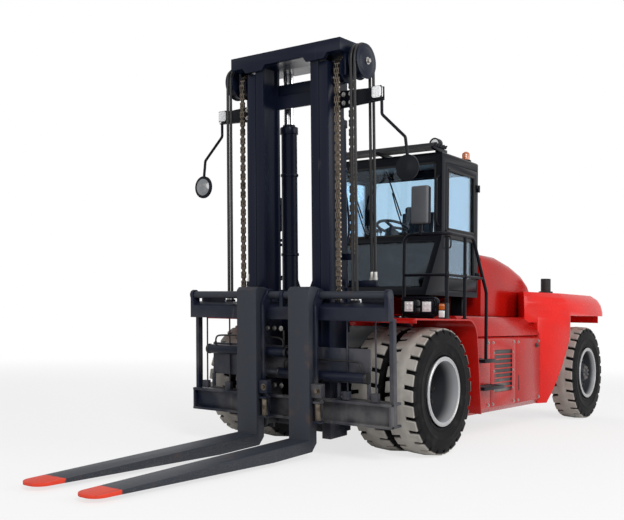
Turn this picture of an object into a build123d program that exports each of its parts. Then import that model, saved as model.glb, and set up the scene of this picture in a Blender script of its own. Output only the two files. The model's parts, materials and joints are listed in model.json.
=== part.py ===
from build123d import *
import math
import os

os.makedirs("parts", exist_ok=True)

# Lengths are millimetres. X runs forward, Y to the driver's left and Z up, and every
# X below is measured from the drive axle. Pieces of the mast are drawn upright and
# leaned forward by PARK_TILT about the drive axle as they are placed.
SIDES = (1, -1)
HANDS = ("left", "right")
PARK_TILT = 2.7

# Fits
RUN_FIT = 0.05
SEAT = 0.3
MOVE_GAP = 8.0

# Running gear
TYRE_R = 600.0
TYRE_W = 316.0
WHEELBASE = 4080.0
RIM_LIP_R = 337.0
DRIVE_LIP_Y = 1227.0
STEER_LIP_Y = 1218.0
DUAL_PITCH = 365.0
KINGPIN_Y = 800.0
JOURNAL_R = 165.0
STEER_X = -WHEELBASE

# Body
BODY_HALF = 1250.0
REAR_OVERHANG = 860.0
REAR_REACH = WHEELBASE + REAR_OVERHANG
FRAME_HALF = 350.0
FRAME_END = STEER_X + 520.0
FENDER_TOP = 1280.0
FENDER_INNER = 545.0
PANEL_Y = 1080.0
PANEL_TOP = 1090.0
PANEL_FRONT = -780.0
SILL_LOW = 280.0
DECK_Y = 960.0
DECK_TOP = 1310.0
CW_TOP = 1620.0
CW_FRONT = STEER_X + 1520.0
CW_BELLY = 900.0
HOOD_HALF = 740.0
HOOD_FRONT = -1810.0
HOOD_REAR = STEER_X + 800.0
HOOD_TOP = 2030.0
CAB_HALF = 750.0
CAB_FRONT = -820.0
CAB_REAR = -1730.0
CAB_TOE = -480.0
CAB_FLOOR = 1520.0
CAB_KNEE = 2130.0
CAB_ROOF = 3060.0
CAB_WALL = 45.0
RAIL_R = 17.0
RAIL_TOP = 2100.0
RAIL_Y = 1200.0

# Mast
RAIL_FRONT = 800.0
RAIL_DEPTH = 270.0
RAIL_PLATE = 34.0
FLANGE_W = 95.0
RAIL_GAP = 5.0
OUTER_EDGE = 480.0
OUTER_LOW = 200.0
OUTER_TOP = 3680.0
INNER_LOW = 260.0
INNER_TOP = 3740.0
CROSSHEAD_HALF = 655.0
LIFT_X = 370.0
LIFT_Y = 300.0
LIFT_BARREL_R = 80.0
LIFT_ROD_R = 55.0
CHAIN_Y = 570.0
CHAIN_W = 60.0
CHAIN_T = 26.0
CHAIN_PITCH = 44.45
CHAIN_FRONT_X = 775.0
CHAIN_SHEAVE_R = 105.0
SHEAVE_Z = INNER_TOP - 145.0
HOSE_Y = 745.0
HOSE_R = 14.0
HOSE_PITCH = 40.0
HOSE_SHEAVE_R = 145.0
HOSE_SHEAVE_Z = INNER_TOP - 80.0
LAMP_ARM_Z = 3335.0
LAMP_ARM_Y = 985.0
MIRROR_Y = 1225.0
MIRROR_R = 115.0

# Carriage and forks
BAR_HALF = 1170.0
UPPER_FRONT = 909.0
UPPER_LOW = 1290.0
UPPER_LIP = 1407.0
LOWER_LOW = 361.0
LOWER_TOP = 577.0
ANCHOR_TOP = 1470.0
SHAFT_X = 868.0
SHAFT_Z = 1518.0
SHAFT_R = 36.0
FORK_FRONT = 1048.0
FORK_W = 236.0
FORK_Y = 307.0
FORK_T = 108.0
FORK_TOP = 1595.0
FORK_LENGTH = 2420.0
FORK_LOW = 113.0
TIP_T = 22.0
POS_X = 884.0
POS_Z = (980.0, 790.0)
POS_BARREL_R = 45.0
POS_ROD_R = 24.0
POS_REACH = 930.0

# Tilt cylinders
TILT_Y = 440.0
TILT_MAST_X = 455.0
TILT_MAST_Z = 1450.0
TILT_CHASSIS_X = -740.0
TILT_CHASSIS_Z = 1130.0
TILT_BARREL_R = 75.0
TILT_ROD_R = 42.0
TILT_PIN_R = 30.0
TILT_EYE_SLACK = 6.0

# The origin is on the ground, midway between the fork tips and the rear end.
TILT = math.radians(PARK_TILT)
TIP_X = FORK_FRONT + FORK_LENGTH
TIP_Z = FORK_LOW + FORK_T
FORK_REACH = TIP_X * math.cos(TILT) + (TIP_Z - TYRE_R) * math.sin(TILT)
AXLE_X = (REAR_REACH - FORK_REACH) / 2
RAIL_BACK = RAIL_FRONT - RAIL_DEPTH
INNER_BACK = RAIL_BACK + MOVE_GAP
INNER_EDGE = OUTER_EDGE - FLANGE_W - RAIL_GAP
INNER_WEB = INNER_EDGE - FLANGE_W / 2

BODY_PLACE = Location((AXLE_X, 0, 0))
MAST_PLACE = Location((AXLE_X, 0, TYRE_R), (0, PARK_TILT, 0)) * Location((0, 0, -TYRE_R))


def save(piece, name, place=BODY_PLACE):
    """Places a finished piece on the truck, labels it and writes it."""
    placed = piece.part.moved(place)
    placed.label = name
    export_step(placed, f"parts/{name}.step")


def fill(plane, outline, depth, mode=Mode.ADD):
    """A closed outline on a plane, made solid along the plane's normal."""
    with BuildSketch(plane) as face:
        with BuildLine():
            Polyline(*outline, close=True)
        make_face()
    extrude(face.sketch, amount=depth, mode=mode)


def slab(outline, y, mode=Mode.ADD):
    """An (x, z) outline, solid between two limits along Y."""
    fill(Plane.XZ.offset(-y[1]), outline, y[1] - y[0], mode)


def deck(outline, z, mode=Mode.ADD):
    """An (x, y) outline, solid between two heights."""
    fill(Plane.XY.offset(z[0]), outline, z[1] - z[0], mode)


def beam(outline, x, mode=Mode.ADD):
    """A (y, z) outline, solid between two limits along X."""
    fill(Plane.YZ.offset(x[0]), outline, x[1] - x[0], mode)


def block(x, y, z, mode=Mode.ADD):
    """A box between pairs of limits."""
    size = [high - low for low, high in (x, y, z)]
    middle = tuple((low + high) / 2 for low, high in (x, y, z))
    with Locations(middle):
        Box(*size, mode=mode)


def pair(y, side):
    """Limits along Y carried to one side of the truck."""
    return tuple(sorted(side * limit for limit in y))


def about(middle, half):
    """Limits on both sides of a middle."""
    return (middle - half, middle + half)


def rod(plane, place, radius, depth, mode=Mode.ADD):
    """A round bar along a plane's normal."""
    with BuildSketch(plane) as face:
        with Locations(place):
            Circle(radius)
    extrude(face.sketch, amount=depth, mode=mode)


def bar_x(y, z, radius, x, mode=Mode.ADD):
    """A round bar along X."""
    rod(Plane.YZ.offset(x[0]), (y, z), radius, x[1] - x[0], mode)


def bar_y(x, z, radius, y, mode=Mode.ADD):
    """A round bar along Y."""
    rod(Plane.XZ.offset(-y[1]), (x, z), radius, y[1] - y[0], mode)


def bar_z(x, y, radius, z, mode=Mode.ADD):
    """A round bar along Z."""
    rod(Plane.XY.offset(z[0]), (x, y), radius, z[1] - z[0], mode)


def tube(points, radius, bend):
    """A round bar bent along points, its corners rounded."""
    with BuildLine() as path:
        FilletPolyline(*points, radius=bend)
    with BuildSketch(Plane(origin=path.line @ 0, z_dir=path.line % 0)) as section:
        Circle(radius)
    sweep(section.sketch, path=path.line)


def ring(profile):
    """A (radius, y) profile turned about the Y axis."""
    with BuildSketch(Plane.XY) as face:
        with BuildLine():
            Polyline(*profile, close=True)
        make_face()
    revolve(face.sketch, axis=Axis.Y)


# Tyres: a carcass with a closed middle band and a band of lugs on each shoulder
LUG_COUNT = 24
LUG_DEPTH = 26.0
LUG_SHARE = 0.72
TREAD_HALF = 142.0
BAND_HALF = 62.0
BEAD_R = 300.5
BEAD_HALF = 118.0
SHOULDER = 22.0
# Sidewall: radius, inset from the tyre's widest plane
SIDEWALL = ((RIM_LIP_R, 22.0), (430.0, 0.0), (TYRE_R - LUG_DEPTH - SHOULDER, 6.0))


def lug_band(y, turn):
    """A band of lugs about the Y axis between two limits."""
    root = TYRE_R - LUG_DEPTH
    points = []
    for lug in range(LUG_COUNT):
        for radius, share in ((root, 0), (TYRE_R, 0), (TYRE_R, LUG_SHARE), (root, LUG_SHARE)):
            angle = math.radians(turn + 360 / LUG_COUNT * (lug + share))
            points.append((radius * math.cos(angle), radius * math.sin(angle)))
    with BuildSketch(Plane.XZ.offset(-y[1])) as face:
        with BuildLine():
            Polyline(*points, close=True)
        make_face()
        Circle(RIM_LIP_R, mode=Mode.SUBTRACT)
    extrude(face.sketch, amount=y[1] - y[0])


with BuildPart() as tyre:
    tread_root = TYRE_R - LUG_DEPTH
    half_profile = [(BEAD_R, BEAD_HALF)]
    half_profile += [(radius, TYRE_W / 2 - inset) for radius, inset in SIDEWALL]
    half_profile += [(tread_root, TREAD_HALF), (tread_root, BAND_HALF), (TYRE_R, BAND_HALF)]
    ring(half_profile + [(radius, -y) for radius, y in reversed(half_profile)])
    lug_band((BAND_HALF, TREAD_HALF), 0)
    lug_band((-TREAD_HALF, -BAND_HALF), 180 / LUG_COUNT)

# Wheels: rims with turned-up flanges, discs and hubs
RIM_R = 300.0
RIM_SKIN = 14.0
FLANGE_T = 8.0
FLANGE_R = RIM_LIP_R - 12.0
RIM_HALF = TYRE_W / 2 - 3.0
DISC_T = 22.0
DISC_BITE = 4.0
HUB_END_GAP = 4.0
HUB_R = 205.0
HUB_CHAMFER = 60.0
HUB_Y = (575.0, 1010.0)
SPINDLE_R = 110.0
SPINDLE_END = 990.0
DISC_Y = (845.0, 935.0)
STEER_HUB_R = 130.0
STEER_HUB_CHAMFER = 40.0
STEER_HUB_DEPTH = 90.0
STEER_CAP = 50.0
STEER_SPINDLE_R = 60.0
STEER_SPINDLE_END = 1130.0
STEER_DISC_Y = 1075.0
KNUCKLE_R = 72.0
KINGPIN_R = 38.0
YOKE_GAP = 150.0
YOKE_REACH = 225.0
OUTER_TYRE_Y = DRIVE_LIP_Y - RIM_HALF
INNER_TYRE_Y = OUTER_TYRE_Y - DUAL_PITCH
STEER_TYRE_Y = STEER_LIP_Y - RIM_HALF


def rim_barrel(y):
    """A rim's barrel and its two turned-up flanges, under the tyre at y."""
    bed = BEAD_HALF + 1.0
    half = [(RIM_R, bed), (FLANGE_R, RIM_HALF - FLANGE_T), (FLANGE_R, RIM_HALF), (RIM_R - RIM_SKIN, RIM_HALF)]
    ring([(radius, y + offset) for radius, offset in half]
         + [(radius, y - offset) for radius, offset in reversed(half)])


def wheel_disc(y, hub_radius):
    """The disc between a rim's barrel and its hub."""
    inner = hub_radius - 5 * DISC_BITE
    outer = RIM_R - RIM_SKIN + DISC_BITE
    ring([(inner, y), (outer, y), (outer, y + DISC_T), (inner, y + DISC_T)])


for side, hand in zip(SIDES, HANDS):
    with BuildPart() as drive_tyres:
        for y in (OUTER_TYRE_Y, INNER_TYRE_Y):
            add(tyre.part.moved(Location((0, side * y, TYRE_R))))
    save(drive_tyres, f"drive_tyres_{hand}")

    with BuildPart() as drive_rims:
        for y in (OUTER_TYRE_Y, INNER_TYRE_Y):
            rim_barrel(y)
        for y in DISC_Y:
            wheel_disc(y, HUB_R)
        bore = SPINDLE_R + RUN_FIT
        end = SPINDLE_END + HUB_END_GAP
        ring([(0, end), (0, HUB_Y[1]), (HUB_R - HUB_CHAMFER, HUB_Y[1]), (HUB_R, HUB_Y[1] - HUB_CHAMFER),
              (HUB_R, HUB_Y[0]), (bore, HUB_Y[0]), (bore, end)])
        if side < 0:
            mirror(about=Plane.XZ, mode=Mode.REPLACE)
    save(drive_rims, f"drive_rims_{hand}", BODY_PLACE * Location((0, 0, TYRE_R)))

    with BuildPart() as steer_tyre:
        add(tyre.part.moved(Location((STEER_X, side * STEER_TYRE_Y, TYRE_R))))
    save(steer_tyre, f"steer_tyre_{hand}")

    with BuildPart() as steer_rim:
        rim_barrel(STEER_TYRE_Y)
        wheel_disc(STEER_DISC_Y, STEER_HUB_R)
        bore = STEER_SPINDLE_R + RUN_FIT
        end = STEER_SPINDLE_END + HUB_END_GAP
        back = STEER_DISC_Y - STEER_HUB_DEPTH
        cap = end + STEER_CAP
        ring([(0, end), (0, cap), (STEER_HUB_R - STEER_HUB_CHAMFER, cap),
              (STEER_HUB_R, cap - STEER_HUB_CHAMFER), (STEER_HUB_R, back), (bore, back), (bore, end)])
        if side < 0:
            mirror(about=Plane.XZ, mode=Mode.REPLACE)
    save(steer_rim, f"steer_rim_{hand}", BODY_PLACE * Location((STEER_X, 0, TYRE_R)))

    # The knuckle swings on a kingpin held by the steer axle's yoke.
    with BuildPart() as knuckle:
        bar_z(STEER_X, side * KINGPIN_Y, KNUCKLE_R, about(TYRE_R, YOKE_GAP))
        bar_y(STEER_X, TYRE_R, STEER_SPINDLE_R, pair((KINGPIN_Y, STEER_SPINDLE_END), side))
        bar_z(STEER_X, side * KINGPIN_Y, KINGPIN_R + RUN_FIT, about(TYRE_R, YOKE_REACH), Mode.SUBTRACT)
    save(knuckle, f"steer_knuckle_{hand}")

# Axles
TUBE_END = INNER_TYRE_Y - 150.0
BANJO_R = 260.0
BANJO_NECK_R = 190.0
BANJO_HALF = 210.0
BANJO_FLAT = 120.0
with BuildPart() as drive_axle:
    ring([(0, -TUBE_END), (JOURNAL_R, -TUBE_END), (JOURNAL_R, TUBE_END), (0, TUBE_END)])
    ring([(0, -SPINDLE_END), (SPINDLE_R, -SPINDLE_END), (SPINDLE_R, SPINDLE_END), (0, SPINDLE_END)])
    ring([(0, -BANJO_HALF), (BANJO_NECK_R, -BANJO_HALF), (BANJO_R, -BANJO_FLAT), (BANJO_R, BANJO_FLAT),
          (BANJO_NECK_R, BANJO_HALF), (0, BANJO_HALF)])
save(drive_axle, "drive_axle", BODY_PLACE * Location((0, 0, TYRE_R)))

YOKE_Y = (650.0, 880.0)
YOKE_WALL = 50.0
YOKE_HALF_X = 75.0
BEAM_HALF_X = 95.0
BEAM_HALF_Z = 110.0
STEER_CYL_X = STEER_X - 170.0
STEER_CYL_Z = TYRE_R - 20.0
STEER_CYL_R = 60.0
STEER_CYL_HALF = 420.0
STEER_CYL_ROD_R = 28.0
STEER_CYL_ROD_HALF = 600.0
STEER_CYL_EAR = (360.0, 400.0)
PIVOT_HALF = (120.0, 150.0)
with BuildPart() as steer_axle:
    block(about(STEER_X, BEAM_HALF_X), (-YOKE_Y[0], YOKE_Y[0]), about(TYRE_R, BEAM_HALF_Z))
    block(about(STEER_X, PIVOT_HALF[0]), (-PIVOT_HALF[1], PIVOT_HALF[1]), (TYRE_R, CW_BELLY))
    bar_y(STEER_CYL_X, STEER_CYL_Z, STEER_CYL_R, (-STEER_CYL_HALF, STEER_CYL_HALF))
    bar_y(STEER_CYL_X, STEER_CYL_Z, STEER_CYL_ROD_R, (-STEER_CYL_ROD_HALF, STEER_CYL_ROD_HALF))
    for side in SIDES:
        block(about(STEER_X, BEAM_HALF_X), pair((YOKE_Y[0], YOKE_Y[0] + YOKE_WALL), side), about(TYRE_R, YOKE_REACH))
        for z in (TYRE_R - YOKE_REACH, TYRE_R + YOKE_GAP + SEAT):
            block(about(STEER_X, YOKE_HALF_X), pair(YOKE_Y, side), (z, z + YOKE_REACH - YOKE_GAP - SEAT))
        bar_z(STEER_X, side * KINGPIN_Y, KINGPIN_R, about(TYRE_R, YOKE_REACH))
        block((STEER_CYL_X - STEER_CYL_ROD_R, STEER_X), pair(STEER_CYL_EAR, side), about(STEER_CYL_Z, STEER_CYL_R))
save(steer_axle, "steer_axle")

# Frame: a box between the axles, with saddles over the drive axle
FRAME_WALL = 40.0
FRAME_LOW = 400.0
FRAME_TOP = 1180.0
FRAME_END_Z = (640.0, 1010.0)
FRAME_END_HALF = 430.0
FRAME_END_T = 120.0
FRAME_RISE_X = -520.0
FRAME_TAIL = (860.0, 660.0)
AXLE_BAY = 200.0
NOSE_X = 150.0
NOSE_Z = (840.0, 980.0)
SADDLE_Y = 235.0
SADDLE_X = 235.0
SADDLE_Z = (FRAME_LOW, 700.0)
CELLAR_X = -700.0
with BuildPart() as chassis_frame:
    slab([(-AXLE_BAY, FRAME_LOW), (-AXLE_BAY, NOSE_Z[0]), (NOSE_X, NOSE_Z[0]), (NOSE_X, NOSE_Z[1]),
          (FRAME_RISE_X, FRAME_TOP), (FRAME_END + FRAME_TAIL[0], FRAME_TOP), (FRAME_END, FRAME_END_Z[1]),
          (FRAME_END, FRAME_END_Z[0]), (FRAME_END + FRAME_TAIL[1], FRAME_LOW)], (-FRAME_HALF, FRAME_HALF))
    for side in SIDES:
        slab([(-SADDLE_X, SADDLE_Z[0]), (-SADDLE_X, NOSE_Z[0]), (NOSE_X, NOSE_Z[0]), (SADDLE_X, SADDLE_Z[1]),
              (SADDLE_X, SADDLE_Z[0] + FRAME_WALL), (SADDLE_X - FRAME_WALL, SADDLE_Z[0])],
             pair((SADDLE_Y, FRAME_HALF), side))
    bar_y(0, TYRE_R, BANJO_R + MOVE_GAP, (-SADDLE_Y, SADDLE_Y), Mode.SUBTRACT)
    bar_y(0, TYRE_R, JOURNAL_R + SEAT, (-FRAME_HALF - SEAT, FRAME_HALF + SEAT), Mode.SUBTRACT)
    slab([(CELLAR_X, FRAME_LOW + 3 * FRAME_WALL), (FRAME_END + FRAME_TAIL[0], FRAME_LOW + 2 * FRAME_WALL),
          (FRAME_END + FRAME_TAIL[0], FRAME_TOP - 3 * FRAME_WALL), (CELLAR_X, FRAME_TOP - 3 * FRAME_WALL)],
         (-FRAME_HALF + FRAME_WALL, FRAME_HALF - FRAME_WALL), Mode.SUBTRACT)
    block((FRAME_END, FRAME_END + FRAME_END_T), (-FRAME_END_HALF, FRAME_END_HALF), FRAME_END_Z)
save(chassis_frame, "chassis_frame")

ENGINE_HALF = 300.0
ENGINE_TOP = 1700.0
ENGINE_X = (HOOD_REAR + 580.0, HOOD_FRONT - 140.0)
GEARBOX_HALF = 210.0
GEARBOX_TOP = 1300.0
GEARBOX_FRONT = HOOD_FRONT + 310.0
with BuildPart() as engine_block:
    block(ENGINE_X, (-ENGINE_HALF, ENGINE_HALF), (FRAME_TOP, ENGINE_TOP))
    block((ENGINE_X[1], GEARBOX_FRONT), (-GEARBOX_HALF, GEARBOX_HALF), (FRAME_TOP, GEARBOX_TOP))
save(engine_block, "engine_block")

# Side boxes between the wheels: a panelled lower box with a vent, and a deck box set in
BOX_FRONT = PANEL_FRONT - 90.0
BOX_INNER = FRAME_HALF + SEAT
BOX_CHAMFER = 60.0
BOX_SHOULDER = 28.0
BOX_REAR = CW_FRONT - 200.0
SEAM = 8.0
SEAM_X = (PANEL_FRONT - 560.0, PANEL_FRONT - 1240.0)
VENT_X = (PANEL_FRONT - 1130.0, PANEL_FRONT - 666.0)
VENT_Z = (490.0, 948.0)
VENT_DEPTH = 30.0
VENT_SLATS = 8
VENT_SLAT_T = 16.0
with BuildPart() as side_boxes:
    for side in SIDES:
        beam([(side * y, z) for y, z in (
            (BOX_INNER, SILL_LOW), (PANEL_Y - BOX_CHAMFER, SILL_LOW), (PANEL_Y, SILL_LOW + BOX_CHAMFER),
            (PANEL_Y, PANEL_TOP - BOX_SHOULDER), (PANEL_Y - BOX_SHOULDER, PANEL_TOP), (BOX_INNER, PANEL_TOP))],
             (BOX_REAR, PANEL_FRONT))
        beam([(side * y, z) for y, z in (
            (BOX_INNER, PANEL_TOP), (DECK_Y, PANEL_TOP), (DECK_Y, DECK_TOP - BOX_SHOULDER),
            (DECK_Y - BOX_SHOULDER, DECK_TOP), (BOX_INNER, DECK_TOP))], (CW_FRONT, PANEL_FRONT))
        block((BOX_FRONT, PANEL_FRONT + SEAT), pair((BOX_INNER - SEAT, FENDER_INNER), side),
              (SILL_LOW - SEAT, DECK_TOP + SEAT), Mode.SUBTRACT)
        for x in SEAM_X:
            block(about(x, SEAM / 2), pair((PANEL_Y - SEAM, PANEL_Y + SEAM), side),
                  (SILL_LOW + BOX_CHAMFER, PANEL_TOP - BOX_SHOULDER), Mode.SUBTRACT)
        block(VENT_X, pair((PANEL_Y - VENT_DEPTH, PANEL_Y + SEAM), side), VENT_Z, Mode.SUBTRACT)
        pitch = (VENT_Z[1] - VENT_Z[0]) / (VENT_SLATS + 1)
        for slat in range(1, VENT_SLATS + 1):
            z = VENT_Z[0] + slat * pitch
            block(VENT_X, pair((PANEL_Y - VENT_DEPTH, PANEL_Y - SEAM / 2), side), about(z, VENT_SLAT_T / 2))
save(side_boxes, "side_boxes")

# Front fenders over the twin wheels, with a flap behind each pair and a stay to the side box
FENDER_SKIN = 16.0
FENDER_FRONT = 600.0
FENDER_BEND_X = -640.0
FENDER_BEND = 210.0
FLAP_X = -760.0
FLAP_LOW = 330.0
STAY_X = -660.0
STAY_Y = (FENDER_INNER + 40.0, PANEL_Y - 60.0)
STAY_Z = (PANEL_TOP - 60.0, PANEL_TOP - 30.0)
FENDER_LIP = 45.0
with BuildPart() as front_fenders:
    under = FENDER_TOP - FENDER_SKIN
    for side in SIDES:
        limits = pair((FENDER_INNER, BODY_HALF), side)
        with BuildSketch(Plane.XZ.offset(-limits[1])) as skin:
            with BuildLine():
                FilletPolyline((FENDER_FRONT, FENDER_TOP), (FENDER_BEND_X, FENDER_TOP), (FLAP_X, FLAP_LOW),
                               radius=FENDER_BEND)
                FilletPolyline((FENDER_FRONT, under), (FENDER_BEND_X + FENDER_SKIN, under),
                               (FLAP_X + FENDER_SKIN, FLAP_LOW), radius=FENDER_BEND - FENDER_SKIN)
                Line((FENDER_FRONT, FENDER_TOP), (FENDER_FRONT, under))
                Line((FLAP_X, FLAP_LOW), (FLAP_X + FENDER_SKIN, FLAP_LOW))
            make_face()
        extrude(skin.sketch, amount=limits[1] - limits[0])
        block((PANEL_FRONT, STAY_X), pair(STAY_Y, side), STAY_Z)
        block((FENDER_FRONT - FENDER_SKIN, FENDER_FRONT), limits, (FENDER_TOP - FENDER_LIP, FENDER_TOP))
save(front_fenders, "front_fenders")

# Counterweight: arms beside the hood, a sloped tail over the steer wheels, a keel between
# them with the tow pin, and a grille in its back
WELL_X = about(STEER_X, 755.0)
WELL_IN = 335.0
WELL_TOP = 1345.0
CW_ARCH = STEER_X + 780.0
CW_EDGE = DECK_TOP - 60.0
CW_SHOULDER = 1400.0
# Rounded shoulder: share of the rise, inset from the edge
CW_ROUND = ((0.0, 0.0), (0.42, 18.0), (0.74, 54.0), (1.0, 120.0))
CW_CHEEK = 300.0
# Rear edge of each arm: drop of the height below the well's top, forward of the well
CW_SWEEP = ((165.0, 0.0), (345.0, 45.0), (590.0, 140.0), (815.0, 250.0), (975.0, 350.0), (1080.0, 425.0))
CW_CORNER = 420.0
CW_SKIRT_IN = 500.0
CW_SKIRT_FLARE = 85.0
KEEL_X = STEER_X - 270.0
KEEL_LOW = 520.0
NOTCH = HOOD_HALF + 15.0
NOTCH_REAR = HOOD_REAR - 20.0
TOW_PIN_R = 26.0
TOW_PIN_X = -REAR_REACH + 60.0
TOW_PIN_TOP = KEEL_LOW + 300.0
TOW_MOUTH = (-REAR_REACH + 130.0, 100.0)
TOW_MOUTH_Z = (KEEL_LOW + 100.0, KEEL_LOW + 200.0)
GRILLE_HALF = 290.0
GRILLE_Z = (KEEL_LOW + 350.0, WELL_TOP + 15.0)
GRILLE_DEPTH = 50.0
GRILLE_SET = 8.0
GRILLE_BARS = 7
GRILLE_BAR_T = 26.0
TAIL_POCKET = 14.0
TAIL_Y = (430.0, 640.0)
TAIL_Z = (1275.0, 1385.0)
HINGE_X = HOOD_REAR - 25.0
HINGE_Z = CW_TOP + 30.0
HINGE_Y = 500.0
HINGE_HALF = 40.0
HINGE_LUG_T = 30.0
HINGE_LUG_R = 20.0
HINGE_PIN_R = 12.0


def tail_plan(z, inset):
    """The counterweight's outline at a height, drawn in by an inset."""
    half = BODY_HALF - inset
    rear = -REAR_REACH + inset
    arm = DECK_Y - inset / 3
    with BuildSketch(Plane.XY.offset(z)) as outline:
        with BuildLine():
            FilletPolyline((CW_ARCH, half), (rear, half), (rear, -half), (CW_ARCH, -half), radius=CW_CORNER)
            Polyline((CW_ARCH, -half), (CW_FRONT, -arm), (CW_FRONT, arm), (CW_ARCH, half))
        make_face()
    return outline.sketch


with BuildPart() as counterweight:
    extrude(tail_plan(CW_EDGE, 0), amount=CW_SHOULDER - CW_EDGE)
    loft([tail_plan(CW_SHOULDER + share * (CW_TOP - CW_SHOULDER), inset) for share, inset in CW_ROUND], ruled=True)
    for side in SIDES:
        deck([(BOX_REAR, side * CW_SKIRT_IN), (BOX_REAR, side * (DECK_Y + CW_SKIRT_FLARE)),
              (CW_ARCH, side * BODY_HALF), (WELL_X[1], side * BODY_HALF), (WELL_X[1], side * CW_SKIRT_IN)],
             (SILL_LOW, DECK_TOP))
        block((BOX_REAR, CW_FRONT), pair((CW_SKIRT_IN, DECK_Y), side), (PANEL_TOP, DECK_TOP))
    block((-REAR_REACH, KEEL_X), (-WELL_IN, WELL_IN), (KEEL_LOW, DECK_TOP))
    block((KEEL_X, FRAME_END), (-WELL_IN, WELL_IN), (CW_BELLY, DECK_TOP))
    block((NOTCH_REAR, CW_FRONT + MOVE_GAP), (-NOTCH, NOTCH), (CW_EDGE - MOVE_GAP, CW_TOP + MOVE_GAP),
          Mode.SUBTRACT)
    for side in SIDES:
        block(WELL_X, pair((WELL_IN, BODY_HALF + MOVE_GAP), side), (0, WELL_TOP), Mode.SUBTRACT)
        slab([(WELL_X[1] - MOVE_GAP, WELL_TOP - CW_SWEEP[0][0])]
             + [(WELL_X[1] + forward, WELL_TOP - drop) for drop, forward in CW_SWEEP]
             + [(WELL_X[1] - MOVE_GAP, WELL_TOP - CW_SWEEP[-1][0])],
             pair((WELL_IN, BODY_HALF + MOVE_GAP), side), Mode.SUBTRACT)
        deck([(CW_FRONT + MOVE_GAP, side * DECK_Y), (CW_FRONT + MOVE_GAP, side * (NOTCH - MOVE_GAP)),
              (CW_FRONT - CW_CHEEK, side * (NOTCH - MOVE_GAP))], (DECK_TOP, CW_TOP + MOVE_GAP), Mode.SUBTRACT)
        block((-REAR_REACH - MOVE_GAP, -REAR_REACH + TAIL_POCKET), pair(TAIL_Y, side), TAIL_Z, Mode.SUBTRACT)
    block((-REAR_REACH - MOVE_GAP, -REAR_REACH + GRILLE_DEPTH), (-GRILLE_HALF, GRILLE_HALF), GRILLE_Z,
          Mode.SUBTRACT)
    for bar in range(1, GRILLE_BARS + 1):
        z = GRILLE_Z[0] + bar * (GRILLE_Z[1] - GRILLE_Z[0]) / (GRILLE_BARS + 1)
        block((-REAR_REACH + GRILLE_SET, -REAR_REACH + GRILLE_DEPTH), (-GRILLE_HALF, GRILLE_HALF),
              about(z, GRILLE_BAR_T / 2))
    bar_z(TOW_PIN_X, 0, TOW_PIN_R, (KEEL_LOW - MOVE_GAP, TOW_PIN_TOP), Mode.SUBTRACT)
    block((-REAR_REACH - MOVE_GAP, TOW_MOUTH[0]), (-TOW_MOUTH[1], TOW_MOUTH[1]), TOW_MOUTH_Z, Mode.SUBTRACT)
    for side in SIDES:
        for y in (HINGE_Y - HINGE_HALF - HINGE_LUG_T, HINGE_Y + HINGE_HALF):
            lug = pair((y, y + HINGE_LUG_T), side)
            block(about(HINGE_X, HINGE_LUG_R), lug, (CW_TOP - HINGE_LUG_R, HINGE_Z))
            bar_y(HINGE_X, HINGE_Z, HINGE_LUG_R, lug)
        bar_y(HINGE_X, HINGE_Z, HINGE_PIN_R, pair(about(HINGE_Y, HINGE_HALF + HINGE_LUG_T), side))
save(counterweight, "counterweight")

with BuildPart() as tail_lamps:
    for side in SIDES:
        block((-REAR_REACH, -REAR_REACH + TAIL_POCKET), pair(TAIL_Y, side), TAIL_Z)
save(tail_lamps, "tail_lamps")

# Hood: a thin lofted shell hinged along its rear edge
HOOD_SKIN = 30.0
HOOD_ROUND = 90.0
HOOD_LOW = DECK_TOP + MOVE_GAP
HOOD_LENGTH = HOOD_FRONT - HOOD_REAR
HOOD_EAR_R = 18.0
HOOD_EAR_HALF = HINGE_HALF - 5.0
# Sections: share of the length from the rear, drop of the crown below the top
HOOD_SECTIONS = ((0.0, HOOD_TOP - CW_TOP - 40.0), (0.061, 275.0), (0.184, 180.0), (0.408, 85.0), (0.687, 10.0),
                 (1.0, 0.0))


def hood_form(skin):
    """The hood's sections from the rear, drawn in by a skin."""
    half = HOOD_HALF - skin
    low = HOOD_LOW - skin
    sections = []
    for share, drop in HOOD_SECTIONS:
        top = HOOD_TOP - drop - skin
        with BuildSketch(Plane.YZ.offset(HOOD_REAR + skin + share * (HOOD_LENGTH - 2 * skin))) as section:
            with BuildLine():
                FilletPolyline((-half, low), (-half, top), (half, top), (half, low), radius=HOOD_ROUND - skin)
                Line((half, low), (-half, low))
            make_face()
        sections.append(section.sketch)
    return sections


with BuildPart() as hood:
    loft(hood_form(0), ruled=True)
    loft(hood_form(HOOD_SKIN), ruled=True, mode=Mode.SUBTRACT)
    for side in SIDES:
        ear = pair(about(HINGE_Y, HOOD_EAR_HALF), side)
        block((HINGE_X, HOOD_REAR + SEAT), ear, about(HINGE_Z, HOOD_EAR_R))
        block((HOOD_REAR, HOOD_REAR + HOOD_SKIN), ear, about(HINGE_Z - HOOD_EAR_R, HOOD_EAR_R))
        bar_y(HINGE_X, HINGE_Z, HOOD_EAR_R, ear)
        bar_y(HINGE_X, HINGE_Z, HINGE_PIN_R + RUN_FIT, ear, Mode.SUBTRACT)
save(hood, "hood")

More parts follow.
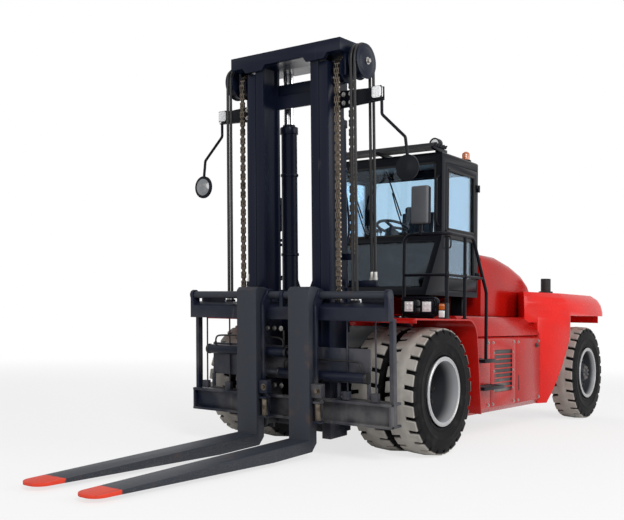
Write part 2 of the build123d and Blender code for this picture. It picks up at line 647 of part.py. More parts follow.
# Cab shell with its windows and doorway cut
CAB_ROUND = 44.0
ROOF_ROUND = 30.0
PILLAR = 70.0
REAR_PILLAR = 90.0
WINDOW_SET = 20.0
WINDOW_LOW = 2200.0
CUT = 80.0
GLASS_T = 8.0
ROOF_RAIL = 110.0
KNEE_RAIL = 30.0
TOE_RAIL = 80.0
TOE_SLACK = 20.0
DOOR_REAR = CAB_REAR + 50.0
DOOR_FRONT = -900.0
DOOR_LOW = 1580.0
DOOR_TOP = 2960.0
DOOR_RAIL = 40.0
DOOR_HINGES = (1760.0, 2760.0)
DOOR_PIN_X = DOOR_REAR
DOOR_PIN_Y = CAB_HALF + 17.0
DOOR_PIN_R = 8.0
KNUCKLE_PIN_R = 16.0
KNUCKLE_H = 40.0
KNUCKLE_BITE = 5.0
front_window = (-CAB_HALF + PILLAR, CAB_HALF - PILLAR)
rear_window = (-CAB_HALF + REAR_PILLAR, CAB_HALF - REAR_PILLAR)
front_window_z = (CAB_KNEE + KNEE_RAIL, CAB_ROOF - ROOF_RAIL)
rear_window_z = (WINDOW_LOW, CAB_ROOF - ROOF_RAIL)
side_window_z = (WINDOW_LOW, DOOR_TOP - DOOR_RAIL)
with BuildPart() as cab_shell:
    slab([(CAB_REAR, CAB_FLOOR), (CAB_REAR, CAB_ROOF), (CAB_FRONT, CAB_ROOF), (CAB_FRONT, CAB_KNEE),
          (CAB_TOE, CAB_FLOOR)], (-CAB_HALF, CAB_HALF))
    fillet(cab_shell.edges().filter_by(Axis.Z).group_by(Axis.X)[0], radius=CAB_ROUND)
    fillet(cab_shell.faces().sort_by(Axis.Z)[-1].edges(), radius=ROOF_ROUND)
    slab([(CAB_REAR + CAB_WALL, CAB_FLOOR + CAB_WALL), (CAB_REAR + CAB_WALL, CAB_ROOF - CAB_WALL),
          (CAB_FRONT - CAB_WALL, CAB_ROOF - CAB_WALL), (CAB_FRONT - CAB_WALL, CAB_KNEE - MOVE_GAP),
          (CAB_TOE - CAB_WALL - TOE_SLACK, CAB_FLOOR + CAB_WALL)], (-CAB_HALF + CAB_WALL, CAB_HALF - CAB_WALL),
         Mode.SUBTRACT)
    block((CAB_FRONT - CUT, CAB_FRONT + MOVE_GAP), front_window, front_window_z, Mode.SUBTRACT)
    slab([(CAB_FRONT - CUT, CAB_KNEE - KNEE_RAIL), (CAB_FRONT + CUT, CAB_KNEE - KNEE_RAIL),
          (CAB_TOE + CUT, CAB_FLOOR + TOE_RAIL), (CAB_TOE - 2 * CUT, CAB_FLOOR + TOE_RAIL)], front_window,
         Mode.SUBTRACT)
    block((CAB_REAR - MOVE_GAP, CAB_REAR + CUT), rear_window, rear_window_z, Mode.SUBTRACT)
    block((DOOR_REAR, DOOR_FRONT), (-CAB_HALF - MOVE_GAP, -CAB_HALF + CUT), side_window_z, Mode.SUBTRACT)
    block((DOOR_REAR, DOOR_FRONT), (CAB_HALF - CUT, CAB_HALF + MOVE_GAP), (DOOR_LOW, DOOR_TOP), Mode.SUBTRACT)
    for z in DOOR_HINGES:
        bar_z(DOOR_PIN_X, DOOR_PIN_Y, KNUCKLE_PIN_R, (z - KNUCKLE_H, z - SEAT))
        block((CAB_REAR + CAB_ROUND, DOOR_PIN_X), (CAB_HALF - KNUCKLE_BITE, DOOR_PIN_Y), (z - KNUCKLE_H, z - SEAT))
        bar_z(DOOR_PIN_X, DOOR_PIN_Y, DOOR_PIN_R, about(z, KNUCKLE_H))
save(cab_shell, "cab_shell")

with BuildPart() as cab_glass:
    block((CAB_FRONT - WINDOW_SET - GLASS_T, CAB_FRONT - WINDOW_SET), front_window, front_window_z)
    block((CAB_REAR + WINDOW_SET, CAB_REAR + WINDOW_SET + GLASS_T), rear_window, rear_window_z)
    block((DOOR_REAR, DOOR_FRONT), (-CAB_HALF + WINDOW_SET, -CAB_HALF + WINDOW_SET + GLASS_T), side_window_z)
save(cab_glass, "cab_glass")

DOOR_T = 40.0
DOOR_CLEAR = 6.0
DOOR_FRAME = 60.0
DOOR_MID = (2160.0, 2230.0)
DOOR_SILL = 1700.0
DOOR_GLASS_SET = 26.0
door_panes = ((DOOR_MID[1], DOOR_TOP - PILLAR), (DOOR_SILL, DOOR_MID[0]))
door_opening = (DOOR_REAR + DOOR_FRAME, DOOR_FRONT - DOOR_FRAME)
with BuildPart() as cab_door:
    block((DOOR_REAR + DOOR_CLEAR, DOOR_FRONT - DOOR_CLEAR), (CAB_HALF - DOOR_T, CAB_HALF),
          (DOOR_LOW + DOOR_CLEAR, DOOR_TOP - DOOR_CLEAR))
    for pane in door_panes:
        block(door_opening, (CAB_HALF - CUT, CAB_HALF + MOVE_GAP), pane, Mode.SUBTRACT)
    for z in DOOR_HINGES:
        block((DOOR_PIN_X + DOOR_CLEAR, DOOR_PIN_X + KNUCKLE_H), (CAB_HALF - KNUCKLE_BITE, DOOR_PIN_Y),
              (z, z + KNUCKLE_H))
        bar_z(DOOR_PIN_X, DOOR_PIN_Y, KNUCKLE_PIN_R, (z, z + KNUCKLE_H))
        bar_z(DOOR_PIN_X, DOOR_PIN_Y, DOOR_PIN_R + RUN_FIT, about(z, KNUCKLE_H + MOVE_GAP), Mode.SUBTRACT)
save(cab_door, "cab_door")

with BuildPart() as door_glass:
    for pane in door_panes:
        block(door_opening, (CAB_HALF - DOOR_GLASS_SET, CAB_HALF - DOOR_GLASS_SET + GLASS_T), pane)
save(door_glass, "door_glass")

# Cab feet down to the deck boxes: the X of each foot's rear face, and its length
CAB_FEET = ((CAB_REAR + 40.0, 120.0), (CAB_TOE - 420.0, 100.0))
CAB_FOOT_Y = (480.0, 620.0)
with BuildPart() as cab_mounts:
    for side in SIDES:
        for x, length in CAB_FEET:
            block((x, x + length), pair(CAB_FOOT_Y, side), (DECK_TOP, CAB_FLOOR))
save(cab_mounts, "cab_mounts")

# Inside the cab
FLOOR_Z = CAB_FLOOR + CAB_WALL
SEAT_X = -1450.0
SEAT_Z = FLOOR_Z + 420.0
SEAT_BASE_HALF = 190.0
CUSHION_X = (SEAT_X - 150.0, SEAT_X + 260.0)
CUSHION_HALF = 240.0
CUSHION_Z = (SEAT_Z - 90.0, SEAT_Z + 20.0)
BACK_H = 640.0
BACK_HALF = 230.0
BACK_T = 80.0
BACK_FOOT = 50.0
BACK_LEAN = 60.0
with BuildPart() as seat_base:
    block(about(SEAT_X, SEAT_BASE_HALF), (-SEAT_BASE_HALF, SEAT_BASE_HALF), (FLOOR_Z, CUSHION_Z[0]))
save(seat_base, "seat_base")
with BuildPart() as seat_cushion:
    block(CUSHION_X, (-CUSHION_HALF, CUSHION_HALF), (CUSHION_Z[0] + SEAT, CUSHION_Z[1]))
save(seat_cushion, "seat_cushion")
with BuildPart() as seat_back:
    foot_front = CUSHION_X[0] - SEAT
    back_low = CUSHION_Z[1] + SEAT
    slab([(foot_front - BACK_FOOT, CUSHION_Z[0]), (foot_front, CUSHION_Z[0]), (foot_front, back_low),
          (foot_front + BACK_LEAN, back_low), (foot_front, SEAT_Z + BACK_H),
          (foot_front - BACK_T, SEAT_Z + BACK_H)], (-BACK_HALF, BACK_HALF))
save(seat_back, "seat_back")

# Steering wheel on a leaning column over the dashboard
DASH_X = (CAB_FRONT - 100.0, CAB_FRONT + 60.0)
DASH_HALF = 330.0
DASH_TOP = FLOOR_Z + 195.0
COLUMN_HALF = 60.0
COLUMN_X = 40.0
COLUMN_DROP = 20.0
WHEEL_X = CAB_FRONT - 245.0
WHEEL_Z = FLOOR_Z + 725.0
WHEEL_LEAN = (-0.35, 0, 1)
WHEEL_R = 190.0
WHEEL_RIM = 26.0
WHEEL_T = 22.0
WHEEL_HUB_R = 40.0
WHEEL_HUB_H = 60.0
SPOKES = 3
with BuildPart() as steering_column:
    block(DASH_X, (-DASH_HALF, DASH_HALF), (FLOOR_Z, DASH_TOP))
    slab([(DASH_X[0], DASH_TOP - COLUMN_HALF), (CAB_FRONT + COLUMN_DROP, DASH_TOP),
          (WHEEL_X + COLUMN_X, WHEEL_Z - COLUMN_DROP), (WHEEL_X - COLUMN_X, WHEEL_Z - 2 * COLUMN_DROP)],
         (-COLUMN_HALF, COLUMN_HALF))
    wheel_plane = Plane(origin=(WHEEL_X, 0, WHEEL_Z), z_dir=WHEEL_LEAN)
    with BuildSketch(wheel_plane) as wheel_hub:
        Circle(WHEEL_HUB_R)
    extrude(wheel_hub.sketch, amount=-WHEEL_HUB_H)
    with BuildSketch(wheel_plane) as wheel:
        Circle(WHEEL_R)
        Circle(WHEEL_R - WHEEL_RIM, mode=Mode.SUBTRACT)
        with PolarLocations(WHEEL_R / 2, SPOKES):
            Rectangle(WHEEL_R - WHEEL_RIM / 2, WHEEL_RIM)
    extrude(wheel.sketch, amount=WHEEL_T)
save(steering_column, "steering_column")

# Slatted roof visor with its two work lamps
VISOR_HALF = CAB_HALF - 20.0
VISOR_REACH = 120.0
VISOR_ROOT = 200.0
VISOR_Z = (20.0, 40.0)
SLATS = 5
SLAT_PITCH = 58.0
SLAT_T = 14.0
SLAT_H = 42.0
SLAT_LEAN = 34.0
VISOR_RIB = 30.0
VISOR_RIBS = (CAB_HALF - 60.0, 0.0, -CAB_HALF + 60.0)
ROOF_LAMP_R = 62.0
ROOF_LAMP_T = 70.0
ROOF_LAMP_Y = CAB_HALF - 130.0
ROOF_LAMP_Z = CAB_ROOF + 104.0
ROOF_LAMP_STALK = 20.0
ROOF_LAMP_X = CAB_FRONT - 140.0
with BuildPart() as roof_guard:
    low = CAB_ROOF + VISOR_Z[1]
    for slat in range(SLATS):
        x = CAB_FRONT + VISOR_REACH - SLAT_T - slat * SLAT_PITCH
        slab([(x, low), (x + SLAT_T, low), (x + SLAT_T - SLAT_LEAN, low + SLAT_H), (x - SLAT_LEAN, low + SLAT_H)],
             (-VISOR_HALF, VISOR_HALF))
    for y in VISOR_RIBS:
        slab([(CAB_FRONT + VISOR_REACH, low + SEAT), (CAB_FRONT + VISOR_REACH, CAB_ROOF + VISOR_Z[0]),
              (CAB_FRONT - VISOR_RIB, CAB_ROOF), (CAB_FRONT - VISOR_ROOT, CAB_ROOF),
              (CAB_FRONT - VISOR_ROOT, low + SEAT)], about(y, VISOR_RIB / 2))
    for side in SIDES:
        y = side * ROOF_LAMP_Y
        bar_x(y, ROOF_LAMP_Z, ROOF_LAMP_R, (ROOF_LAMP_X, ROOF_LAMP_X + ROOF_LAMP_T))
        block((ROOF_LAMP_X, ROOF_LAMP_X + ROOF_LAMP_STALK), about(y, ROOF_LAMP_STALK), (CAB_ROOF, ROOF_LAMP_Z))
save(roof_guard, "roof_guard")


def turned(profile):
    """A (radius, z) profile turned about the Z axis."""
    with BuildSketch(Plane.XZ) as face:
        with BuildLine():
            Polyline(*profile, close=True)
        make_face()
    revolve(face.sketch, axis=Axis.Z)


# Beacon and exhaust: radius and height of each turn of their outlines
BEACON = ((0, 0), (58.0, 0), (58.0, 24.0), (46.0, 30.0), (46.0, 96.0), (40.0, 114.0), (24.0, 126.0), (0, 130.0))
BEACON_X = CAB_REAR + 130.0
BEACON_Y = CAB_HALF - 110.0
with BuildPart() as beacon:
    turned(BEACON)
save(beacon, "beacon", BODY_PLACE * Location((BEACON_X, BEACON_Y, CAB_ROOF)))

STACK = ((50.0, 12.0), (50.0, 190.0), (62.0, 190.0), (62.0, 30.0), (88.0, 26.0), (88.0, 0), (0, 0), (0, 12.0))
STACK_X = STEER_X + 680.0
STACK_Y = 900.0
with BuildPart() as exhaust_stack:
    turned(STACK)
save(exhaust_stack, "exhaust_stack", BODY_PLACE * Location((STACK_X, STACK_Y, CW_TOP)))

# Steps: height of the top, rear and front ends
STEPS = ((870.0, PANEL_FRONT - 340.0, PANEL_FRONT - 80.0), (590.0, PANEL_FRONT - 570.0, PANEL_FRONT - 70.0))
STEP_T = 36.0
STEP_WIDE = RAIL_Y + 40.0 - PANEL_Y
STEP_SLOT = 26.0
STEP_SLOTS = 3
with BuildPart() as steps:
    for side in SIDES:
        for top, rear, front in STEPS:
            block((rear, front), pair((PANEL_Y, PANEL_Y + STEP_WIDE), side), (top - STEP_T, top - SEAT))
            pitch = (STEP_WIDE - STEP_T) / STEP_SLOTS
            for slot in range(STEP_SLOTS):
                y = PANEL_Y + STEP_T / 2 + slot * pitch
                block((rear + STEP_T, front - STEP_T), pair((y, y + STEP_SLOT), side), (0, RAIL_Y), Mode.SUBTRACT)
save(steps, "steps")

def lens(plane, place, size, corner, depth):
    """A rounded rectangular block standing on a plane."""
    with BuildSketch(plane) as face:
        with Locations(place):
            RectangleRounded(*size, corner)
    extrude(face.sketch, amount=depth)


# Handrails over the fenders, down to the top step, with a mirror above each front corner
RAIL_X = (-80.0, -460.0, -640.0, -960.0)
RAIL_IN = 730.0
RAIL_MID = 1700.0
RAIL_ELBOW = 1560.0
RAIL_BEND = 90.0
RAIL_DROP = 40.0
MID_R = 14.0
MID_BEND = 60.0
MID_END = -880.0
MIRROR_PLATE = (190.0, 380.0)
MIRROR_PLATE_T = 34.0
MIRROR_PLATE_Y = 915.0
MIRROR_PLATE_LOW = RAIL_TOP + 95.0
MIRROR_EDGE = 32.0
with BuildPart() as handrails:
    for side in SIDES:
        outer = side * RAIL_Y
        inner = side * RAIL_IN
        foot = FENDER_TOP + SEAT
        tube([(RAIL_X[0], inner, foot), (RAIL_X[0], inner, RAIL_TOP), (RAIL_X[0], outer, RAIL_TOP),
              (RAIL_X[2], outer, RAIL_TOP), (RAIL_X[3], outer, RAIL_ELBOW), (RAIL_X[3], outer, STEPS[0][0])],
             RAIL_R, RAIL_BEND)
        bar_z(RAIL_X[0], outer, RAIL_R, (foot, RAIL_TOP - RAIL_DROP))
        bar_z(RAIL_X[1], outer, RAIL_R, (foot, RAIL_TOP))
        tube([(RAIL_X[0], inner, RAIL_MID), (RAIL_X[0], outer, RAIL_MID), (MID_END, outer, RAIL_MID)], MID_R, MID_BEND)
        bar_z(RAIL_X[0], side * MIRROR_PLATE_Y, MID_R, (RAIL_TOP, MIRROR_PLATE_LOW + RAIL_DROP))
        lens(Plane.YZ.offset(RAIL_X[0] - MIRROR_PLATE_T / 2),
             (side * MIRROR_PLATE_Y, MIRROR_PLATE_LOW + MIRROR_PLATE[1] / 2), MIRROR_PLATE, MIRROR_EDGE, MIRROR_PLATE_T)
save(handrails, "handrails")


# Head lamps in a guard on each fender, with a signal lamp beside them
LAMP_X = -45.0
LAMP_DEPTH = 96.0
LAMP_SIZE = (136.0, 140.0)
LAMP_CORNER = 34.0
LAMP_Z = FENDER_TOP + 112.0
LAMP_Y = (866.0, 1060.0)
GUARD_SIZE = (400.0, 192.0)
GUARD_CORNER = 60.0
GUARD_T = 22.0
GUARD_X = LAMP_X + 30.0
GUARD_W = 46.0
LAMP_BASE = (LAMP_X + 10.0, LAMP_X + 50.0)
SIGNAL_Y = (1172.0, 1246.0)
SIGNAL_DEPTH = 80.0
SIGNAL_H = 150.0
with BuildPart() as headlamps:
    guard_y = sum(LAMP_Y) / 2
    for side in SIDES:
        for y in LAMP_Y:
            lens(Plane.YZ.offset(LAMP_X), (side * y, LAMP_Z), LAMP_SIZE, LAMP_CORNER, LAMP_DEPTH)
        with BuildSketch(Plane.YZ.offset(GUARD_X)) as guard:
            with Locations((side * guard_y, LAMP_Z)):
                RectangleRounded(*GUARD_SIZE, GUARD_CORNER)
                RectangleRounded(*[size - 2 * GUARD_T for size in GUARD_SIZE], GUARD_CORNER - GUARD_T, mode=Mode.SUBTRACT)
            with Locations((side * guard_y, LAMP_Z)):
                Rectangle(GUARD_SIZE[0] - GUARD_T, GUARD_T)
        extrude(guard.sketch, amount=GUARD_W)
        block(LAMP_BASE, pair(about(guard_y, GUARD_SIZE[0] / 3), side), (FENDER_TOP, LAMP_Z - GUARD_SIZE[1] / 2 + GUARD_T))
        block((LAMP_X, LAMP_X + SIGNAL_DEPTH), pair(SIGNAL_Y, side), (FENDER_TOP, FENDER_TOP + SIGNAL_H))
save(headlamps, "headlamps")

# Outer mast: two channels, cross members, feet on the axle and the ears of the tilt pins
CROSS_PLATE = 60.0
FOOT_Y = 400.0
FOOT_W = 60.0
FOOT_R = 235.0
FOOT_FLAT = 120.0
FOOT_Z = (330.0, 900.0)
FOOT_BITE = 20.0
LIFT_BARREL_LOW = 360.0
LIFT_BARREL_TOP = OUTER_TOP - 480.0
LIFT_SHELF = 40.0
LIFT_SHELF_X = LIFT_X - 90.0
OUTER_CROSS = ((240.0, 320.0), (1160.0, 1280.0), (OUTER_TOP - 250.0, OUTER_TOP - 80.0))
GUSSET = 120.0
GUSSET_T = 20.0
ROLLER_BOSS_R = 78.0
ROLLER_BOSS_T = 14.0
ROLLER_BOSS_Z = (OUTER_TOP - 150.0, 560.0)
EAR_T = 22.0
EAR_IN = 35.0
EAR_H = 130.0
EAR_NOSE = 55.0
with BuildPart() as mast_outer_frame:
    for side in SIDES:
        block((RAIL_BACK, RAIL_FRONT), pair((OUTER_EDGE - RAIL_PLATE, OUTER_EDGE), side), (OUTER_LOW, OUTER_TOP))
        for x in (RAIL_BACK, RAIL_FRONT - RAIL_PLATE):
            block((x, x + RAIL_PLATE), pair((OUTER_EDGE - FLANGE_W, OUTER_EDGE), side), (OUTER_LOW, OUTER_TOP))
        foot_y = pair((FOOT_Y, FOOT_Y + FOOT_W), side)
        slab([(RAIL_BACK + FOOT_BITE, FOOT_Z[0]), (RAIL_BACK + FOOT_BITE, FOOT_Z[1]), (FOOT_FLAT, TYRE_R + FOOT_R),
              (-FOOT_FLAT, TYRE_R + FOOT_R), (-FOOT_R, TYRE_R), (-FOOT_FLAT, TYRE_R - FOOT_R),
              (FOOT_FLAT, TYRE_R - FOOT_R)], foot_y)
        bar_y(0, TYRE_R, JOURNAL_R + RUN_FIT, foot_y, Mode.SUBTRACT)
        for z in ROLLER_BOSS_Z:
            bar_y((RAIL_BACK + RAIL_FRONT) / 2, z, ROLLER_BOSS_R, pair((OUTER_EDGE, OUTER_EDGE + ROLLER_BOSS_T), side))
    for cross in OUTER_CROSS:
        block((RAIL_BACK - CROSS_PLATE, RAIL_BACK), (-OUTER_EDGE, OUTER_EDGE), cross)
    for side in SIDES:
        beam([(side * OUTER_EDGE, OUTER_CROSS[2][0]), (side * (OUTER_EDGE - GUSSET), OUTER_CROSS[2][0]),
              (side * OUTER_EDGE, OUTER_CROSS[2][0] - GUSSET)], (RAIL_BACK - GUSSET_T, RAIL_BACK))
    block((LIFT_SHELF_X, RAIL_BACK), (-OUTER_EDGE, OUTER_EDGE), (LIFT_BARREL_LOW - LIFT_SHELF, LIFT_BARREL_LOW))
    for side in SIDES:
        slab([(RAIL_BACK, TILT_MAST_Z - EAR_H), (RAIL_BACK, TILT_MAST_Z + EAR_H), (TILT_MAST_X, TILT_MAST_Z + EAR_NOSE),
              (TILT_MAST_X - EAR_NOSE, TILT_MAST_Z), (TILT_MAST_X, TILT_MAST_Z - EAR_NOSE)],
             pair((TILT_Y + EAR_IN, TILT_Y + EAR_IN + EAR_T), side))
        bar_y(TILT_MAST_X, TILT_MAST_Z, TILT_PIN_R, pair((TILT_Y - EAR_IN, TILT_Y + EAR_IN + SEAT), side))
save(mast_outer_frame, "mast_outer_frame", MAST_PLACE)

LIFT_GLAND = 12.0
LIFT_GLAND_H = 70.0
LIFT_BORE_LOW = 60.0
LIFT_ROD_LOW = 90.0
with BuildPart() as lift_barrels:
    for side in SIDES:
        y = side * LIFT_Y
        bar_z(LIFT_X, y, LIFT_BARREL_R, (LIFT_BARREL_LOW, LIFT_BARREL_TOP))
        bar_z(LIFT_X, y, LIFT_BARREL_R + LIFT_GLAND, (LIFT_BARREL_TOP - LIFT_GLAND_H, LIFT_BARREL_TOP))
        bar_z(LIFT_X, y, LIFT_BARREL_R + LIFT_GLAND, (LIFT_BARREL_LOW, LIFT_BARREL_LOW + LIFT_GLAND_H))
        bar_z(LIFT_X, y, LIFT_ROD_R + RUN_FIT, (LIFT_BARREL_LOW + LIFT_BORE_LOW, LIFT_BARREL_TOP), Mode.SUBTRACT)
save(lift_barrels, "lift_barrels", MAST_PLACE)

# Lamp arms out from the mast, with their lamps and the bent mirror stalks
ARM_X = 620.0
ARM_T = 16.0
ARM_ROOT = 85.0
ARM_TIP = 62.0
ARM_FLANGE = 40.0
ARM_FLANGE_T = 12.0
ARM_LAMP = (96.0, 104.0)
ARM_LAMP_Y = 930.0
ARM_LAMP_T = 44.0
ARM_LAMP_ROUND = 22.0
with BuildPart() as lamp_arms:
    for side in SIDES:
        root = side * OUTER_EDGE
        tip = side * LAMP_ARM_Y
        beam([(root, LAMP_ARM_Z - ARM_ROOT), (root, LAMP_ARM_Z + ARM_ROOT), (tip, LAMP_ARM_Z + ARM_TIP),
              (tip, LAMP_ARM_Z - ARM_TIP)], (ARM_X, ARM_X + ARM_T))
        beam([(root, LAMP_ARM_Z - ARM_ROOT), (root, LAMP_ARM_Z - ARM_ROOT + ARM_FLANGE_T),
              (tip, LAMP_ARM_Z - ARM_TIP + ARM_FLANGE_T), (tip, LAMP_ARM_Z - ARM_TIP)], (ARM_X, ARM_X + ARM_FLANGE))
save(lamp_arms, "lamp_arms", MAST_PLACE)

with BuildPart() as mast_lamps:
    for side in SIDES:
        lens(Plane.YZ.offset(ARM_X + ARM_T), (side * ARM_LAMP_Y, LAMP_ARM_Z + ARM_FLANGE_T), ARM_LAMP, ARM_LAMP_ROUND,
             ARM_LAMP_T)
save(mast_lamps, "mast_lamps", MAST_PLACE)

STALK_R = 14.0
STALK_BEND = 40.0
STALK_X = ARM_X + ARM_FLANGE / 2
STALK_Y = LAMP_ARM_Y - 20.0
# Mirror stalk: share of the way out from the arm's end to the mirror, drop below the arm
STALK = ((0.0, ARM_TIP + 2.0), (0.0, 190.0), (0.92, 420.0), (1.0, 600.0))
MIRROR_DROP = 695.0
MIRROR_BACK = 46.0
MIRROR_EDGE_T = 12.0
MIRROR_BULGE = 20.0
with BuildPart() as mast_mirrors:
    for side in SIDES:
        tube([(STALK_X, side * (STALK_Y + share * (MIRROR_Y - STALK_Y)), LAMP_ARM_Z - drop) for share, drop in STALK],
             STALK_R, STALK_BEND)
        middle = (STALK_X, side * MIRROR_Y, LAMP_ARM_Z - MIRROR_DROP)
        with BuildSketch(Plane(origin=middle, x_dir=(1, 0, 0), z_dir=(0, -1, 0))) as dish:
            with BuildLine():
                Polyline((MIRROR_EDGE_T, MIRROR_R), (0, MIRROR_R), (-MIRROR_BACK * 2 / 3, MIRROR_R / 2),
                         (-MIRROR_BACK, 0), (MIRROR_EDGE_T + MIRROR_BULGE, 0),
                         (MIRROR_EDGE_T + MIRROR_BULGE * 2 / 3, MIRROR_R / 2), close=True)
            make_face()
        revolve(dish.sketch, axis=Axis(middle, (1, 0, 0)))
save(mast_mirrors, "mast_mirrors", MAST_PLACE)

# Inner mast: two beams, cross members, and the crosshead with its scalloped front plate
CROSSHEAD_TOP = INNER_TOP + 118.0
FACE_PLATE = 40.0
FACE_BACK = RAIL_FRONT + MOVE_GAP
INNER_CROSS = ((INNER_LOW, INNER_LOW + 140.0), (INNER_TOP - 390.0, INNER_TOP - 260.0))
BROW = INNER_TOP + 25.0
CHIN = INNER_TOP - 50.0
# Half of the front plate's lower edge: y, height
SCALLOP = ((210.0, BROW), (265.0, CHIN), (470.0, CHIN), (525.0, BROW), (CROSSHEAD_HALF, BROW))
CAP_BEVEL = 26.0
with BuildPart() as mast_inner_frame:
    for side in SIDES:
        block((INNER_BACK, RAIL_FRONT), pair(about(INNER_WEB, RAIL_PLATE / 2), side), (INNER_LOW, INNER_TOP))
        for x in (INNER_BACK, RAIL_FRONT - RAIL_PLATE):
            block((x, x + RAIL_PLATE), pair((INNER_EDGE - FLANGE_W, INNER_EDGE), side), (INNER_LOW, INNER_TOP))
    for cross in INNER_CROSS:
        block((INNER_BACK, INNER_BACK + RAIL_PLATE), (-INNER_EDGE + FLANGE_W, INNER_EDGE - FLANGE_W), cross)
    slab([(LIFT_SHELF_X, INNER_TOP), (LIFT_SHELF_X, CROSSHEAD_TOP - CAP_BEVEL), (LIFT_SHELF_X + CAP_BEVEL, CROSSHEAD_TOP),
          (FACE_BACK + FACE_PLATE, CROSSHEAD_TOP), (FACE_BACK + FACE_PLATE, INNER_TOP)],
         (-CROSSHEAD_HALF, CROSSHEAD_HALF))
    beam([*SCALLOP, (CROSSHEAD_HALF, CROSSHEAD_TOP), (-CROSSHEAD_HALF, CROSSHEAD_TOP),
          *[(-y, z) for y, z in reversed(SCALLOP)]], (FACE_BACK, FACE_BACK + FACE_PLATE))
save(mast_inner_frame, "mast_inner_frame", MAST_PLACE)

with BuildPart() as lift_rods:
    for side in SIDES:
        bar_z(LIFT_X, side * LIFT_Y, LIFT_ROD_R, (LIFT_BARREL_LOW + LIFT_ROD_LOW, INNER_TOP))
save(lift_rods, "lift_rods", MAST_PLACE)

# Sheaves at the crosshead's ends: flanged ones for the chains, grooved ones for the hoses
CHAIN_SHEAVE_X = CHAIN_FRONT_X - CHAIN_SHEAVE_R - CHAIN_T / 2
HOSE_SHEAVE_X = CHAIN_FRONT_X - HOSE_SHEAVE_R - HOSE_R
SHEAVE_FLANGE = 9.0
SHEAVE_RISE = 18.0
HOSE_SHEAVE_HALF = 48.0
CHAIN_PIN_R = 30.0
HOSE_PIN_R = 25.0
CHEEK_Y = (CHAIN_Y + 45.0, CHAIN_Y + 75.0)
CHEEK_X = (60.0, 80.0)
PIN_END = 60.0
AXLE_IN = CHAIN_Y - 60.0


def sheave(x, z, y, bed, half, tread):
    """A sheave with a flange on each side of its bed."""
    rim = bed + SHEAVE_RISE
    profile = [(0, -half), (rim, -half), (rim, -tread), (bed, -tread), (bed, tread), (rim, tread), (rim, half), (0, half)]
    with BuildSketch(Plane(origin=(x, y, z))) as face:
        with BuildLine():
            Polyline(*profile, close=True)
        make_face()
    revolve(face.sketch, axis=Axis((x, y, z), (0, 1, 0)))


with BuildPart() as sheaves:
    for side in SIDES:
        sheave(CHAIN_SHEAVE_X, SHEAVE_Z, side * CHAIN_Y, CHAIN_SHEAVE_R - SEAT, CHAIN_W / 2 + SHEAVE_FLANGE, CHAIN_W / 2)
        sheave(HOSE_SHEAVE_X, HOSE_SHEAVE_Z, side * HOSE_Y, HOSE_SHEAVE_R - SEAT, HOSE_SHEAVE_HALF,
               HOSE_SHEAVE_HALF - SHEAVE_FLANGE)
        bar_y(CHAIN_SHEAVE_X, SHEAVE_Z, CHAIN_PIN_R, pair((AXLE_IN, CHEEK_Y[1]), side))
        block((CHAIN_SHEAVE_X - CHEEK_X[0], CHAIN_SHEAVE_X + CHEEK_X[1]), pair(CHEEK_Y, side),
              (SHEAVE_Z - CHEEK_X[0], INNER_TOP))
        bar_y(HOSE_SHEAVE_X, HOSE_SHEAVE_Z, HOSE_PIN_R, pair((CHEEK_Y[0], HOSE_Y + PIN_END), side))
save(sheaves, "sheaves", MAST_PLACE)

# Lift chains: links of two widths by turns, over the sheave and down to an anchor at each end
CHAIN_ANCHOR_Z = 1900.0
LINK_WIDE = CHAIN_W - 4.0
LINK_SLIM = CHAIN_W - 20.0


def chain_run(x, y, z):
    """A hanging run of links, a wide one and a slim one by turns."""
    count = max(2, round((z[1] - z[0]) / CHAIN_PITCH))
    pitch = (z[1] - z[0]) / count
    edge = []
    for link in range(count):
        half = (LINK_WIDE if link % 2 else LINK_SLIM) / 2
        edge += [(half, z[0] + link * pitch), (half, z[0] + (link + 1) * pitch)]
    beam([(y + half, height) for half, height in edge] + [(y - half, height) for half, height in reversed(edge)],
         (x, x + CHAIN_T))


with BuildPart() as lift_chains:
    outer = CHAIN_SHEAVE_R + CHAIN_T
    for side in SIDES:
        y = side * CHAIN_Y
        chain_run(CHAIN_SHEAVE_X + CHAIN_SHEAVE_R, y, (ANCHOR_TOP, SHEAVE_Z))
        chain_run(CHAIN_SHEAVE_X - outer, y, (CHAIN_ANCHOR_Z, SHEAVE_Z))
        with BuildSketch(Plane.XZ.offset(-(y + LINK_WIDE / 2))) as arch:
            with Locations((CHAIN_SHEAVE_X, SHEAVE_Z)):
                Circle(outer)
                Circle(CHAIN_SHEAVE_R, mode=Mode.SUBTRACT)
            with Locations((CHAIN_SHEAVE_X, SHEAVE_Z - outer)):
                Rectangle(3 * outer, 2 * outer, mode=Mode.SUBTRACT)
        extrude(arch.sketch, amount=LINK_WIDE)
save(lift_chains, "lift_chains", MAST_PLACE)

# Hose pairs over their sheaves
HOSE_ANCHOR_Z = 1650.0
with BuildPart() as mast_hoses:
    reach = HOSE_SHEAVE_R + HOSE_R
    for y in (side * HOSE_Y + offset_y for side in SIDES for offset_y in (-HOSE_PITCH / 2, HOSE_PITCH / 2)):
        front = HOSE_SHEAVE_X + reach
        back = HOSE_SHEAVE_X - reach
        with BuildLine() as hose_path:
            Line((front, y, ANCHOR_TOP), (front, y, HOSE_SHEAVE_Z))
            ThreePointArc((front, y, HOSE_SHEAVE_Z), (HOSE_SHEAVE_X, y, HOSE_SHEAVE_Z + reach), (back, y, HOSE_SHEAVE_Z))
            Line((back, y, HOSE_SHEAVE_Z), (back, y, HOSE_ANCHOR_Z))
        with BuildSketch(Plane.XY.offset(ANCHOR_TOP)) as hose_section:
            with Locations((front, y)):
                Circle(HOSE_R)
        sweep(hose_section.sketch, path=hose_path.line)
save(mast_hoses, "mast_hoses", MAST_PLACE)

